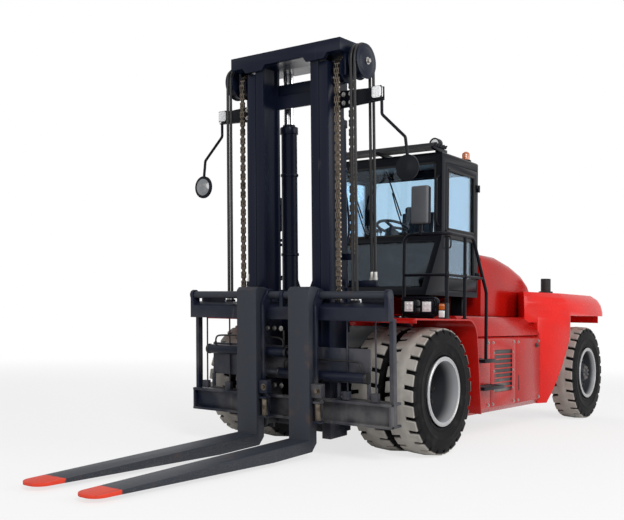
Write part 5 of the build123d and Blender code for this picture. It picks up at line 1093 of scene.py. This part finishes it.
class TRUCK_OT_cab_trim(bpy.types.Operator):
    """Makes the window seals, toe window, wipers, door handle, grab bars and inside controls"""
    bl_idname = "truck.cab_trim"
    bl_label = "Cab trim"

    def execute(self, context):
        seals = Workpiece()
        seal(seals, FRONT_WINDOW, 0, CAB_FACE - 0.012, 0.018)
        seal(seals, REAR_WINDOW, 0, CAB_BACK + 0.012, -0.018)
        seal(seals, SIDE_WINDOW, 1, -CAB_SIDE + 0.012, -0.018)
        seals.finish("cab_seals", "chassis", "seal_rubber", "hose_rubber")
        door = Workpiece()
        for pane in DOOR_PANES:
            seal(door, pane, 1, CAB_SIDE - 0.020, 0.024)
        door.block((-0.955, CAB_SIDE, 2.165), (-0.915, CAB_SIDE + 0.016, 2.225), 0.004)
        door.pipe([(HANDLE_X, CAB_SIDE + out, z) for out, z in HANDLE], 0.009)
        door.finish("door_trim", "cab_door", "seal_rubber", "hose_rubber")
        glass = Workpiece()
        (x0, z0), (x1, z1) = TOE_PANE
        glass.outline([(x0, -TOE_HALF, z0), (x0, TOE_HALF, z0), (x1, TOE_HALF, z1), (x1, -TOE_HALF, z1)],
                      (-0.006, 0, -0.003))
        glass.finish("toe_glass", "chassis", "toe_tint", "window_glass")
        trim = Workpiece()
        for y in (-0.18, 0.32):
            pivot = Vector((CAB_FACE + 0.020, y, 2.185))
            trim.bar(pivot - FORWARD * 0.03, pivot + FORWARD * 0.012, 0.022, 20, edge=0.003)
            trim.pipe([pivot + Vector(point) for point in WIPER_ARM], 0.007)
            trim.pipe([pivot + Vector(point) for point in WIPER_BLADE], 0.008)
        for side in SIDES:
            trim.pipe([(CAB_FACE + out, side * GRAB_Y, z) for out, z in GRAB_BAR], 0.011)
        base = Limits("beacon")
        trim.turn([(0.046, 0.0), (0.064, 0.0), (0.066, 0.006), (0.060, 0.030), (0.047, 0.034)],
                  (base.middle.x, base.middle.y, base.low.z), UP, 40)
        trim.finish("cab_fittings", "chassis", "black_paint", "black_paint")
        inside = Workpiece()
        inside.block((-1.56, -0.44, 1.565), (-1.16, -0.29, 2.16), 0.02, 3)
        for lever in range(LEVERS):
            foot = Vector((-1.42 + 0.07 * lever, -0.365, 2.155))
            top = foot + Vector((0.012, 0, 0.12))
            inside.bar(foot, top, 0.006, 10)
            inside.bar(top, top + Vector((0.003, 0, 0.045)), 0.016, 14, 0.020, edge=0.005)
        inside.block((-0.985, -0.22, 1.94), (-0.945, 0.22, 2.06), 0.012, 3)
        inside.bar((-1.02, 0.0, 1.75), (-0.97, 0.0, 1.98), 0.045, 20)
        inside.bar((-1.13, 0.14, 2.30), (-1.15, 0.14, 2.35), 0.016, 14, 0.020, edge=0.005)
        for y in (-0.12, 0.10):
            inside.block((-0.94, y - 0.05, 1.60), (-0.92, y + 0.05, 1.72), 0.006)
        inside.block((CAB_BACK + 0.05, -0.60, 1.57), (CAB_BACK + 0.10, 0.60, 2.15), 0.02, 3)
        inside.finish("cab_controls", "chassis", "cab_plastic", "cab_plastic")
        return {"FINISHED"}


PAD_SHRINK = 0.014
PAD_SWELL = 0.024
PAD_VOXEL = 0.006
PAD_FRAMES = 20
PAD_PRESSURE = 4.0
PAD_EDGE = 0.035
BACK_PAD_T = 0.105
CHANNELS = (-0.115, 0.0, 0.115)
CHANNEL_SINK = 0.010
CHANNEL_W = 0.009
SHELL_HALF = 0.21


def evaluated_mesh(holder):
    """The mesh that an object's modifiers make."""
    return bpy.data.meshes.new_from_object(holder.evaluated_get(bpy.context.evaluated_depsgraph_get()))


def settle_pad(start):
    """Swells a pad by its stuffing, its movement capped, and gives back the mesh."""
    holder = bpy.data.objects.new("pad_form", start)
    bpy.context.scene.collection.objects.link(holder)
    remesh = holder.modifiers.new("grain", "REMESH")
    remesh.mode = "VOXEL"
    remesh.voxel_size = PAD_VOXEL
    shaped = evaluated_mesh(holder)
    holder.modifiers.clear()
    holder.data = shaped
    rest = [vertex.co.copy() for vertex in shaped.vertices]
    cloth = holder.modifiers.new("stuffing", "CLOTH").settings
    cloth.use_pressure = True
    cloth.uniform_pressure_force = PAD_PRESSURE
    cloth.effector_weights.gravity = 0.0
    for step in range(1, PAD_FRAMES + 1):
        bpy.context.scene.frame_set(step)
    swollen = evaluated_mesh(holder)
    for vertex, before, after in zip(shaped.vertices, rest, swollen.vertices):
        moved = after.co - before
        vertex.co = before + moved * min(1.0, PAD_SWELL / max(moved.length, 1e-6))
    bpy.context.scene.frame_set(1)
    bpy.data.objects.remove(holder)
    return shaped


class TRUCK_OT_seat(bpy.types.Operator):
    """Makes the stuffed seat cushion and back with their sewn channels, and the back's shell"""
    bl_idname = "truck.seat"
    bl_label = "Seat"

    def execute(self, context):
        for node in ("seat_cushion", "seat_back"):
            box = Limits(node)
            form = Workpiece()
            inset = Vector((PAD_SHRINK, PAD_SHRINK, PAD_SHRINK))
            low, high = box.low + inset, box.high - inset
            if node == "seat_cushion":
                form.block(low, high, PAD_EDGE, 4)
            else:
                form.block((box.high.x - BACK_PAD_T, low.y, box.low.z + 0.13),
                           (box.high.x - 0.012, high.y, high.z), PAD_EDGE, 4)
                for vertex in form.mesh.verts:
                    vertex.co.x -= (vertex.co.z - box.low.z - 0.11) * 0.095
                    vertex.co.y *= 1.0 - 0.28 * max(0.0, (vertex.co.z - box.low.z - 0.45) / 0.3)
            start = bpy.data.meshes.new(node)
            form.mesh.to_mesh(start)
            form.mesh.free()
            shaped = settle_pad(start)
            for vertex in shaped.vertices:
                for channel in CHANNELS:
                    depth = CHANNEL_SINK * math.exp(-((vertex.co.y - channel) / CHANNEL_W) ** 2)
                    if node == "seat_cushion" and vertex.normal.z > 0.4:
                        vertex.co.z -= depth
                    elif node == "seat_back" and vertex.normal.x > 0.4:
                        vertex.co.x -= depth
            pad = Workpiece()
            pad.mesh.from_mesh(shaped)
            piece = pad.finish(f"{node}_pad", "chassis", "seat_cloth", "seat_cloth", (node,), smooth=math.pi)
            soft = piece.modifiers.new("soft", "SUBSURF")
            soft.levels = 1
            soft.render_levels = 1
        shell = Workpiece()
        box = Limits("seat_back")
        x, low, high = box.low.x, box.low.z, box.high.z - 0.10
        shell.slab([(x + 0.095, low), (x + 0.035, high), (x + 0.012, high), (x + 0.068, low)],
                   -SHELL_HALF, 2 * SHELL_HALF, 0.008)
        shell.finish("seat_shell", "chassis", "cab_plastic", "cab_plastic")
        return {"FINISHED"}


LAMP_FACE = 0.051
LAMP_PLACES = (0.866, 1.060)
LAMP_Z = 1.392
LAMP_HALF = 0.050
BEZEL_HALF = 0.058
BEZEL_T = 0.010
SIGNAL_FACE = 0.035
SIGNAL_Y = (1.172, 1.246)
ROOF_LAMP = (-0.890, 0.62, 3.164)
TAIL_Y = (0.430, 0.640)
RIM_W = 0.012


class TRUCK_OT_lamps(bpy.types.Operator):
    """Makes the lenses and bezels of every lamp"""
    bl_idname = "truck.lamps"
    bl_label = "Lamps"

    def execute(self, context):
        lens = Workpiece()
        bezel = Workpiece()
        amber = Workpiece()
        for y in LAMP_PLACES:
            lens.block((LAMP_FACE - 0.004, y - LAMP_HALF, LAMP_Z - LAMP_HALF),
                       (LAMP_FACE + 0.008, y + LAMP_HALF, LAMP_Z + LAMP_HALF), 0.014, 4)
            for across in (-0.020, 0.020):
                for up in (0.022, -0.022):
                    lens.turn([(0.0, 0.006), (0.010, 0.004), (0.014, 0.0)],
                              (LAMP_FACE + 0.008, y + across, LAMP_Z + up), FORWARD, 14, closed=False)
            for across, up in ((1, 0), (-1, 0), (0, 1), (0, -1)):
                middle_y, middle_z = y + across * BEZEL_HALF, LAMP_Z + up * BEZEL_HALF
                half_y = BEZEL_T if across else BEZEL_HALF
                half_z = BEZEL_T if up else BEZEL_HALF
                bezel.block((LAMP_FACE - 0.004, middle_y - half_y, middle_z - half_z),
                            (LAMP_FACE + 0.012, middle_y + half_y, middle_z + half_z), 0.004)
        for piece, low, high in ((amber, 1.365, 1.422), (lens, 1.292, 1.358)):
            piece.block((SIGNAL_FACE - 0.004, SIGNAL_Y[0] + 0.008, low),
                        (SIGNAL_FACE + 0.010, SIGNAL_Y[1] - 0.008, high), 0.005)
        lens.turn([(0.0, 0.010), (0.034, 0.008), (0.050, 0.001), (0.0, 0.001)], ROOF_LAMP, FORWARD, 32,
                  closed=False)
        bezel.turn([(0.049, 0.0), (0.062, 0.0), (0.062, 0.010), (0.056, 0.014), (0.050, 0.010)], ROOF_LAMP,
                   FORWARD, 32)
        lens.mirrored().finish("lamp_lenses", "chassis", "lamp_white", "lamp_white")
        bezel.mirrored().finish("lamp_bezels", "chassis", "black_paint", "black_paint")
        amber.mirrored().finish("signal_lenses", "chassis", "beacon_amber", "beacon_amber")
        lights = Limits("mast_lamps", MAST)
        dots = Workpiece(MAST)
        case = Workpiece(MAST)
        x, y, z = lights.high.x, lights.high.y - 0.048, lights.middle.z
        case.block((x - 0.020, y - 0.052, z - 0.056), (x - 0.004, y + 0.052, z + 0.056), 0.006, 3)
        for row in (-1, 0, 1):
            for column in (-1, 0, 1):
                dots.turn([(0.0, 0.006), (0.009, 0.004), (0.012, 0.0)],
                          (x, y + 0.028 * column, z + 0.031 * row), FORWARD, 14, closed=False)
        case.mirrored().finish("mast_lamp_cases", "mast_outer", "black_paint", "black_paint")
        dots.mirrored().finish("mast_lamp_dots", "mast_outer", "lamp_white", "lamp_white")
        tail = Limits("tail_lamps")
        rim = Workpiece()
        x, low, high = tail.low.x, tail.low.z, tail.high.z
        y0, y1 = TAIL_Y
        for near, far in (((y0 - RIM_W, low - RIM_W), (y1 + RIM_W, low)),
                          ((y0 - RIM_W, high), (y1 + RIM_W, high + RIM_W)),
                          ((y0 - RIM_W, low), (y0, high)), ((y1, low), (y1 + RIM_W, high))):
            rim.block((x - 0.006, *near), (x + 0.006, *far), 0.003)
        rim.mirrored().finish("tail_lamp_rims", "chassis", "black_paint", "black_paint")
        return {"FINISHED"}


MIRROR_RADIUS = 0.115
MIRROR_X = 0.640


class TRUCK_OT_mirrors(bpy.types.Operator):
    """Makes the mirror glasses, their rims and the square mirrors' shells"""
    bl_idname = "truck.mirrors"
    bl_label = "Mirrors"

    def execute(self, context):
        mirrors = Limits("mast_mirrors", MAST)
        glass = Workpiece(MAST)
        rims = Workpiece(MAST)
        for side in SIDES:
            centre = (MIRROR_X, side * (mirrors.high.y - MIRROR_RADIUS), mirrors.low.z + MIRROR_RADIUS)
            if side < 0:
                glass.turn([(0.0, 0.0335), (0.040, 0.030), (0.075, 0.0225), (0.102, 0.0135), (0.104, 0.011)],
                           centre, FORWARD, 40, closed=False)
            rims.turn([(0.102, 0.012), (0.108, 0.016), (0.116, 0.014), (0.1165, 0.0), (0.110, -0.004)],
                      centre, FORWARD, 40)
        glass.finish("mirror_glasses", "mast_outer", "mirror_glass", "chrome_rod")
        rims.finish("mirror_rims", "mast_outer", "black_paint", "black_paint")
        plate = Workpiece()
        plate.block((-0.101, 0.832, 2.212), (-0.096, 0.998, 2.558), 0.002)
        plate.mirrored().finish("side_mirror_glasses", "chassis", "mirror_glass", "chrome_rod")
        shell = Workpiece()
        shell.block((-0.070, 0.822, 2.197), (-0.026, 1.008, 2.573), 0.030, 4)
        shell.mirrored().finish("side_mirror_shells", "chassis", "mirror_grey", "cab_plastic")
        return {"FINISHED"}


PANEL_Y = 1.080
VENT = ((-1.910, 0.490), (-1.446, 0.948))
DECK_SIDE = 0.960
DECK_Z = 1.280
RAIL_X_FRONT = -0.08
RAIL_X_REAR = -0.46
# Steps: rear end, front end and height of each tread
STEP_TREADS = ((-1.12, -0.86, 0.870), (-1.35, -0.85, 0.590))
GRIP_PITCH = 0.045
# Handles on the panel (x, how far it stands out) and on the hood (x, y, z)
LATCH_Z = 0.98
LATCH_PULL = ((-2.665, 0.004), (-2.655, 0.022), (-2.645, 0.026), (-2.635, 0.022), (-2.625, 0.004))
HOOD_HANDLE = ((-1.95, 0.3, 2.026), (-1.95, 0.3, 2.052), (-1.94, 0.27, 2.060), (-1.94, 0.15, 2.060),
               (-1.95, 0.12, 2.052), (-1.95, 0.12, 2.026))


class TRUCK_OT_body_trim(bpy.types.Operator):
    """Makes the panel bolts, deck strip, a dark sheet behind the vent as painted shade, latches, rail feet, step
    grips and lifting plugs
    """
    bl_idname = "truck.body_trim"
    bl_label = "Body trim"

    def execute(self, context):
        (x0, z0), (x1, z1) = VENT
        bolts = Workpiece()
        for x in (-0.86, -1.28, -1.40, -1.96, -2.08, -2.70):
            for z in (0.37, 1.03):
                bolts.bolt((x, PANEL_Y, z), ACROSS, 0.022)
        for x in (x0 - 0.022, x1 + 0.022):
            for z in (z0 + 0.03, (z0 + z1) / 2, z1 - 0.03):
                bolts.bolt((x, PANEL_Y, z), ACROSS, 0.016)
        for x in (0.50, 0.20, -0.20, -0.50):
            bolts.bolt((x, 0.62, DECK_Z), UP, 0.024)
        bolts.mirrored().finish("panel_bolts", "chassis", "bolt_steel", "chain_steel")
        deck = Workpiece()
        deck.outline([(CAB_FACE, y, z) for y, z in ((DECK_SIDE - 0.006, 1.300), (PANEL_Y - 0.004, 1.098),
                                                    (DECK_SIDE - 0.006, 1.084))], (-1.955, 0, 0), 0.008)
        deck.mirrored().finish("deck_fairing", "chassis", "red_paint", "red_paint")
        dark = Workpiece()
        # Painted shade: a dark sheet just behind the vent stands in for the dark inside of the body.
        dark.block((x0 + 0.002, PANEL_Y - 0.029, z0 + 0.002), (x1 - 0.002, PANEL_Y - 0.013, z1 - 0.002), 0.0)
        dark.block((-2.118, PANEL_Y - 0.002, 0.478), (-2.096, PANEL_Y + 0.005, 0.648), 0.006, 3)
        dark.block((-2.68, PANEL_Y - 0.002, 0.955), (-2.61, PANEL_Y + 0.006, 1.005), 0.006, 3)
        dark.pipe([(x, PANEL_Y + out, LATCH_Z) for x, out in LATCH_PULL], 0.006)
        dark.mirrored()
        dark.block((-4.89, -0.285, 0.875), (-4.893, 0.285, 1.355), 0.0)
        dark.finish("vent_shade_and_latches", "chassis", "frame_steel", "frame_steel")
        feet = Workpiece()
        for x, y in ((RAIL_X_FRONT, 0.73), (RAIL_X_FRONT, 1.20), (RAIL_X_REAR, 1.20)):
            feet.bar((x, y, DECK_Z), (x, y, DECK_Z + 0.008), 0.034, 24, edge=0.002)
        for x in (RAIL_X_FRONT, RAIL_X_REAR):
            feet.bar((x, 1.20, 1.675), (x, 1.20, 1.725), 0.023, 20, edge=0.003)
        feet.bar((RAIL_X_FRONT, 0.915, 2.09), (RAIL_X_FRONT, 0.915, 2.13), 0.024, 20, edge=0.003)
        for low_x, high_x, z in STEP_TREADS:
            count = round((high_x - low_x) / GRIP_PITCH)
            for grip in range(1, count):
                x = low_x + grip * (high_x - low_x) / count
                for y in (1.090, 1.2305):
                    feet.bar((x, y, z - 0.002), (x, y, z + 0.005), 0.008, 8, 0.005)
        feet.mirrored().finish("rail_feet", "chassis", "black_paint", "black_paint")
        hood = Workpiece()
        hood.pipe(HOOD_HANDLE, 0.008)
        hood.mirrored().finish("hood_latches", "hood", "black_paint", "black_paint")
        tail = Workpiece()
        for x, y in ((-4.45, 0.55), (-3.55, 0.98)):
            tail.turn([(0.0, 0.002), (0.042, 0.002), (0.046, 0.0), (0.050, 0.006), (0.060, 0.006),
                       (0.062, -0.002)], (x, y, 1.620), UP, 32, closed=False)
        tail.mirrored().finish("lifting_plugs", "chassis", "red_casting", "red_casting")
        return {"FINISHED"}


CAMERA_AT = Vector((7.308, 5.006, 1.301))
CAMERA_YAW = math.radians(216.19)
CAMERA_PITCH = math.radians(3.59)
CAMERA_ROLL = math.radians(1.09)
IMAGE_WIDTH = 624
FOCUS_PIXELS = 861.5
SENSOR = 36.0
# Lamps: name, place, what it aims at, size, watts
STUDIO = (
    ("key", (8.0, 10.0, 8.5), (-0.5, 0, 1.2), 5.0, 1000.0),
    ("front", (11.0, -1.5, 4.0), (0.5, 0, 1.4), 6.0, 150.0),
    ("side", (-4.0, 11.0, 5.0), (-3.0, 0, 1.0), 6.0, 460.0),
    ("back", (-9.0, -7.0, 7.0), (-1.0, 0, 1.2), 7.0, 320.0),
)
SKY_LIGHT = 0.30
FLOOR_GLOW = 0.72
FLOOR_RADIUS = 60.0
# The floor fades to white between these distances from the middle
FLOOR_FADE = (7.0, 16.0)


class TRUCK_OT_stage(bpy.types.Operator):
    """Sets the floor, the studio lamps and the camera at the photograph's view"""
    bl_idname = "truck.stage"
    bl_label = "Stage"

    def execute(self, context):
        scene = context.scene
        scene.view_settings.view_transform = "Standard"
        ground = bmesh.new()
        bmesh.ops.create_circle(ground, cap_ends=True, segments=96, radius=FLOOR_RADIUS)
        data = bpy.data.meshes.new("studio_floor")
        ground.to_mesh(data)
        ground.free()
        floor = bpy.data.objects.new("studio_floor", data)
        scene.collection.objects.link(floor)
        finish = Finish("studio_floor")
        wire = finish.wire
        ray = wire.node("ShaderNodeLightPath")
        rays = ray.output("Is Camera Ray") + ray.output("Is Glossy Ray")
        finish.set(Base_Color=(*colours().floor, 1), Roughness=0.9, Specular_IOR_Level=0.1)
        white = wire.node("ShaderNodeEmission", inputs={"Color": (1, 1, 1, 1), "Strength": 1.0})
        distance = wire.node("ShaderNodeVectorMath", {"operation": "LENGTH"}, {0: finish.point}, out=1)
        glow = (distance.between(*FLOOR_FADE) * (1 - FLOOR_GLOW) + FLOOR_GLOW) * rays.least(1.0)
        dull = Wire(wire.tree, finish.shader.outputs[0])
        mixed = wire.node("ShaderNodeMixShader", inputs={0: glow, 1: dull, 2: white})
        wire.end("ShaderNodeOutputMaterial", "Surface", mixed)
        data.materials.append(finish.material)
        world = bpy.data.worlds.new("studio")
        scene.world = world
        world.use_nodes = True
        world.node_tree.nodes["Background"].inputs["Color"].default_value = (1, 1, 1, 1)
        sky = Wire(world.node_tree)
        path = sky.node("ShaderNodeLightPath")
        seen = path.output("Is Camera Ray") + path.output("Is Glossy Ray") + path.output("Is Transmission Ray")
        sky.end("ShaderNodeBackground", "Strength", seen.least(1.0) * (1.0 - SKY_LIGHT) + SKY_LIGHT)
        for name, place, aim, size, watts in STUDIO:
            lamp = bpy.data.lights.new(name, "AREA")
            lamp.shape = "DISK"
            lamp.size = size
            lamp.energy = watts
            holder = bpy.data.objects.new(name, lamp)
            place = TRUCK @ Vector(place)
            aimed = (TRUCK @ Vector(aim) - place).to_track_quat("-Z", "Y").to_matrix().to_4x4()
            holder.matrix_world = Matrix.Translation(place) @ aimed
            scene.collection.objects.link(holder)
        level = math.cos(CAMERA_PITCH)
        ahead = Vector((math.cos(CAMERA_YAW) * level, math.sin(CAMERA_YAW) * level, math.sin(CAMERA_PITCH)))
        right = Vector((math.sin(CAMERA_YAW), -math.cos(CAMERA_YAW), 0))
        up = right.cross(ahead)
        level_right = right * math.cos(CAMERA_ROLL) + up * math.sin(CAMERA_ROLL)
        level_up = up * math.cos(CAMERA_ROLL) - right * math.sin(CAMERA_ROLL)
        camera = bpy.data.cameras.new("photograph")
        camera.sensor_width = SENSOR
        camera.lens = FOCUS_PIXELS / IMAGE_WIDTH * SENSOR
        view = bpy.data.objects.new("photograph", camera)
        turn = Matrix((level_right, level_up, -ahead)).transposed().to_4x4()
        view.matrix_world = Matrix.Translation(TRUCK @ CAMERA_AT) @ turn
        scene.collection.objects.link(view)
        scene.camera = view
        return {"FINISHED"}


OPERATORS = (
    TRUCK_OT_finishes, TRUCK_OT_seat, TRUCK_OT_tyres, TRUCK_OT_wheels, TRUCK_OT_chains, TRUCK_OT_hoses,
    TRUCK_OT_mast_trim, TRUCK_OT_carriage_trim, TRUCK_OT_fork_trim, TRUCK_OT_cab_trim, TRUCK_OT_lamps,
    TRUCK_OT_mirrors, TRUCK_OT_body_trim, TRUCK_OT_edges, TRUCK_OT_stage,
)


class TRUCK_PT_panel(bpy.types.Panel):
    """Lists the steps of dressing the truck"""
    bl_idname = "TRUCK_PT_panel"
    bl_label = "Forklift"
    bl_space_type = "VIEW_3D"
    bl_region_type = "UI"
    bl_category = "Forklift"

    def draw(self, context):
        for group in (context.scene.truck_sizes, context.scene.truck_colours):
            for name in group.bl_rna.properties.keys():
                if name not in ("rna_type", "name"):
                    self.layout.prop(group, name)
        for operator in OPERATORS:
            self.layout.operator(operator.bl_idname)


CLASSES = (TruckSizes, TruckColours, *OPERATORS, TRUCK_PT_panel)


def register():
    """Registers the add-on's classes and its settings."""
    for entry in CLASSES:
        bpy.utils.register_class(entry)
    bpy.types.Scene.truck_sizes = bpy.props.PointerProperty(type=TruckSizes)
    bpy.types.Scene.truck_colours = bpy.props.PointerProperty(type=TruckColours)


def unregister():
    """Takes the add-on's classes and settings away."""
    del bpy.types.Scene.truck_colours
    del bpy.types.Scene.truck_sizes
    for entry in reversed(CLASSES):
        bpy.utils.unregister_class(entry)


def main():
    """Dresses the truck piece by piece."""
    register()
    for operator in OPERATORS:
        group, name = operator.bl_idname.split(".")
        getattr(getattr(bpy.ops, group), name)()


if __name__ == "__main__":
    main()
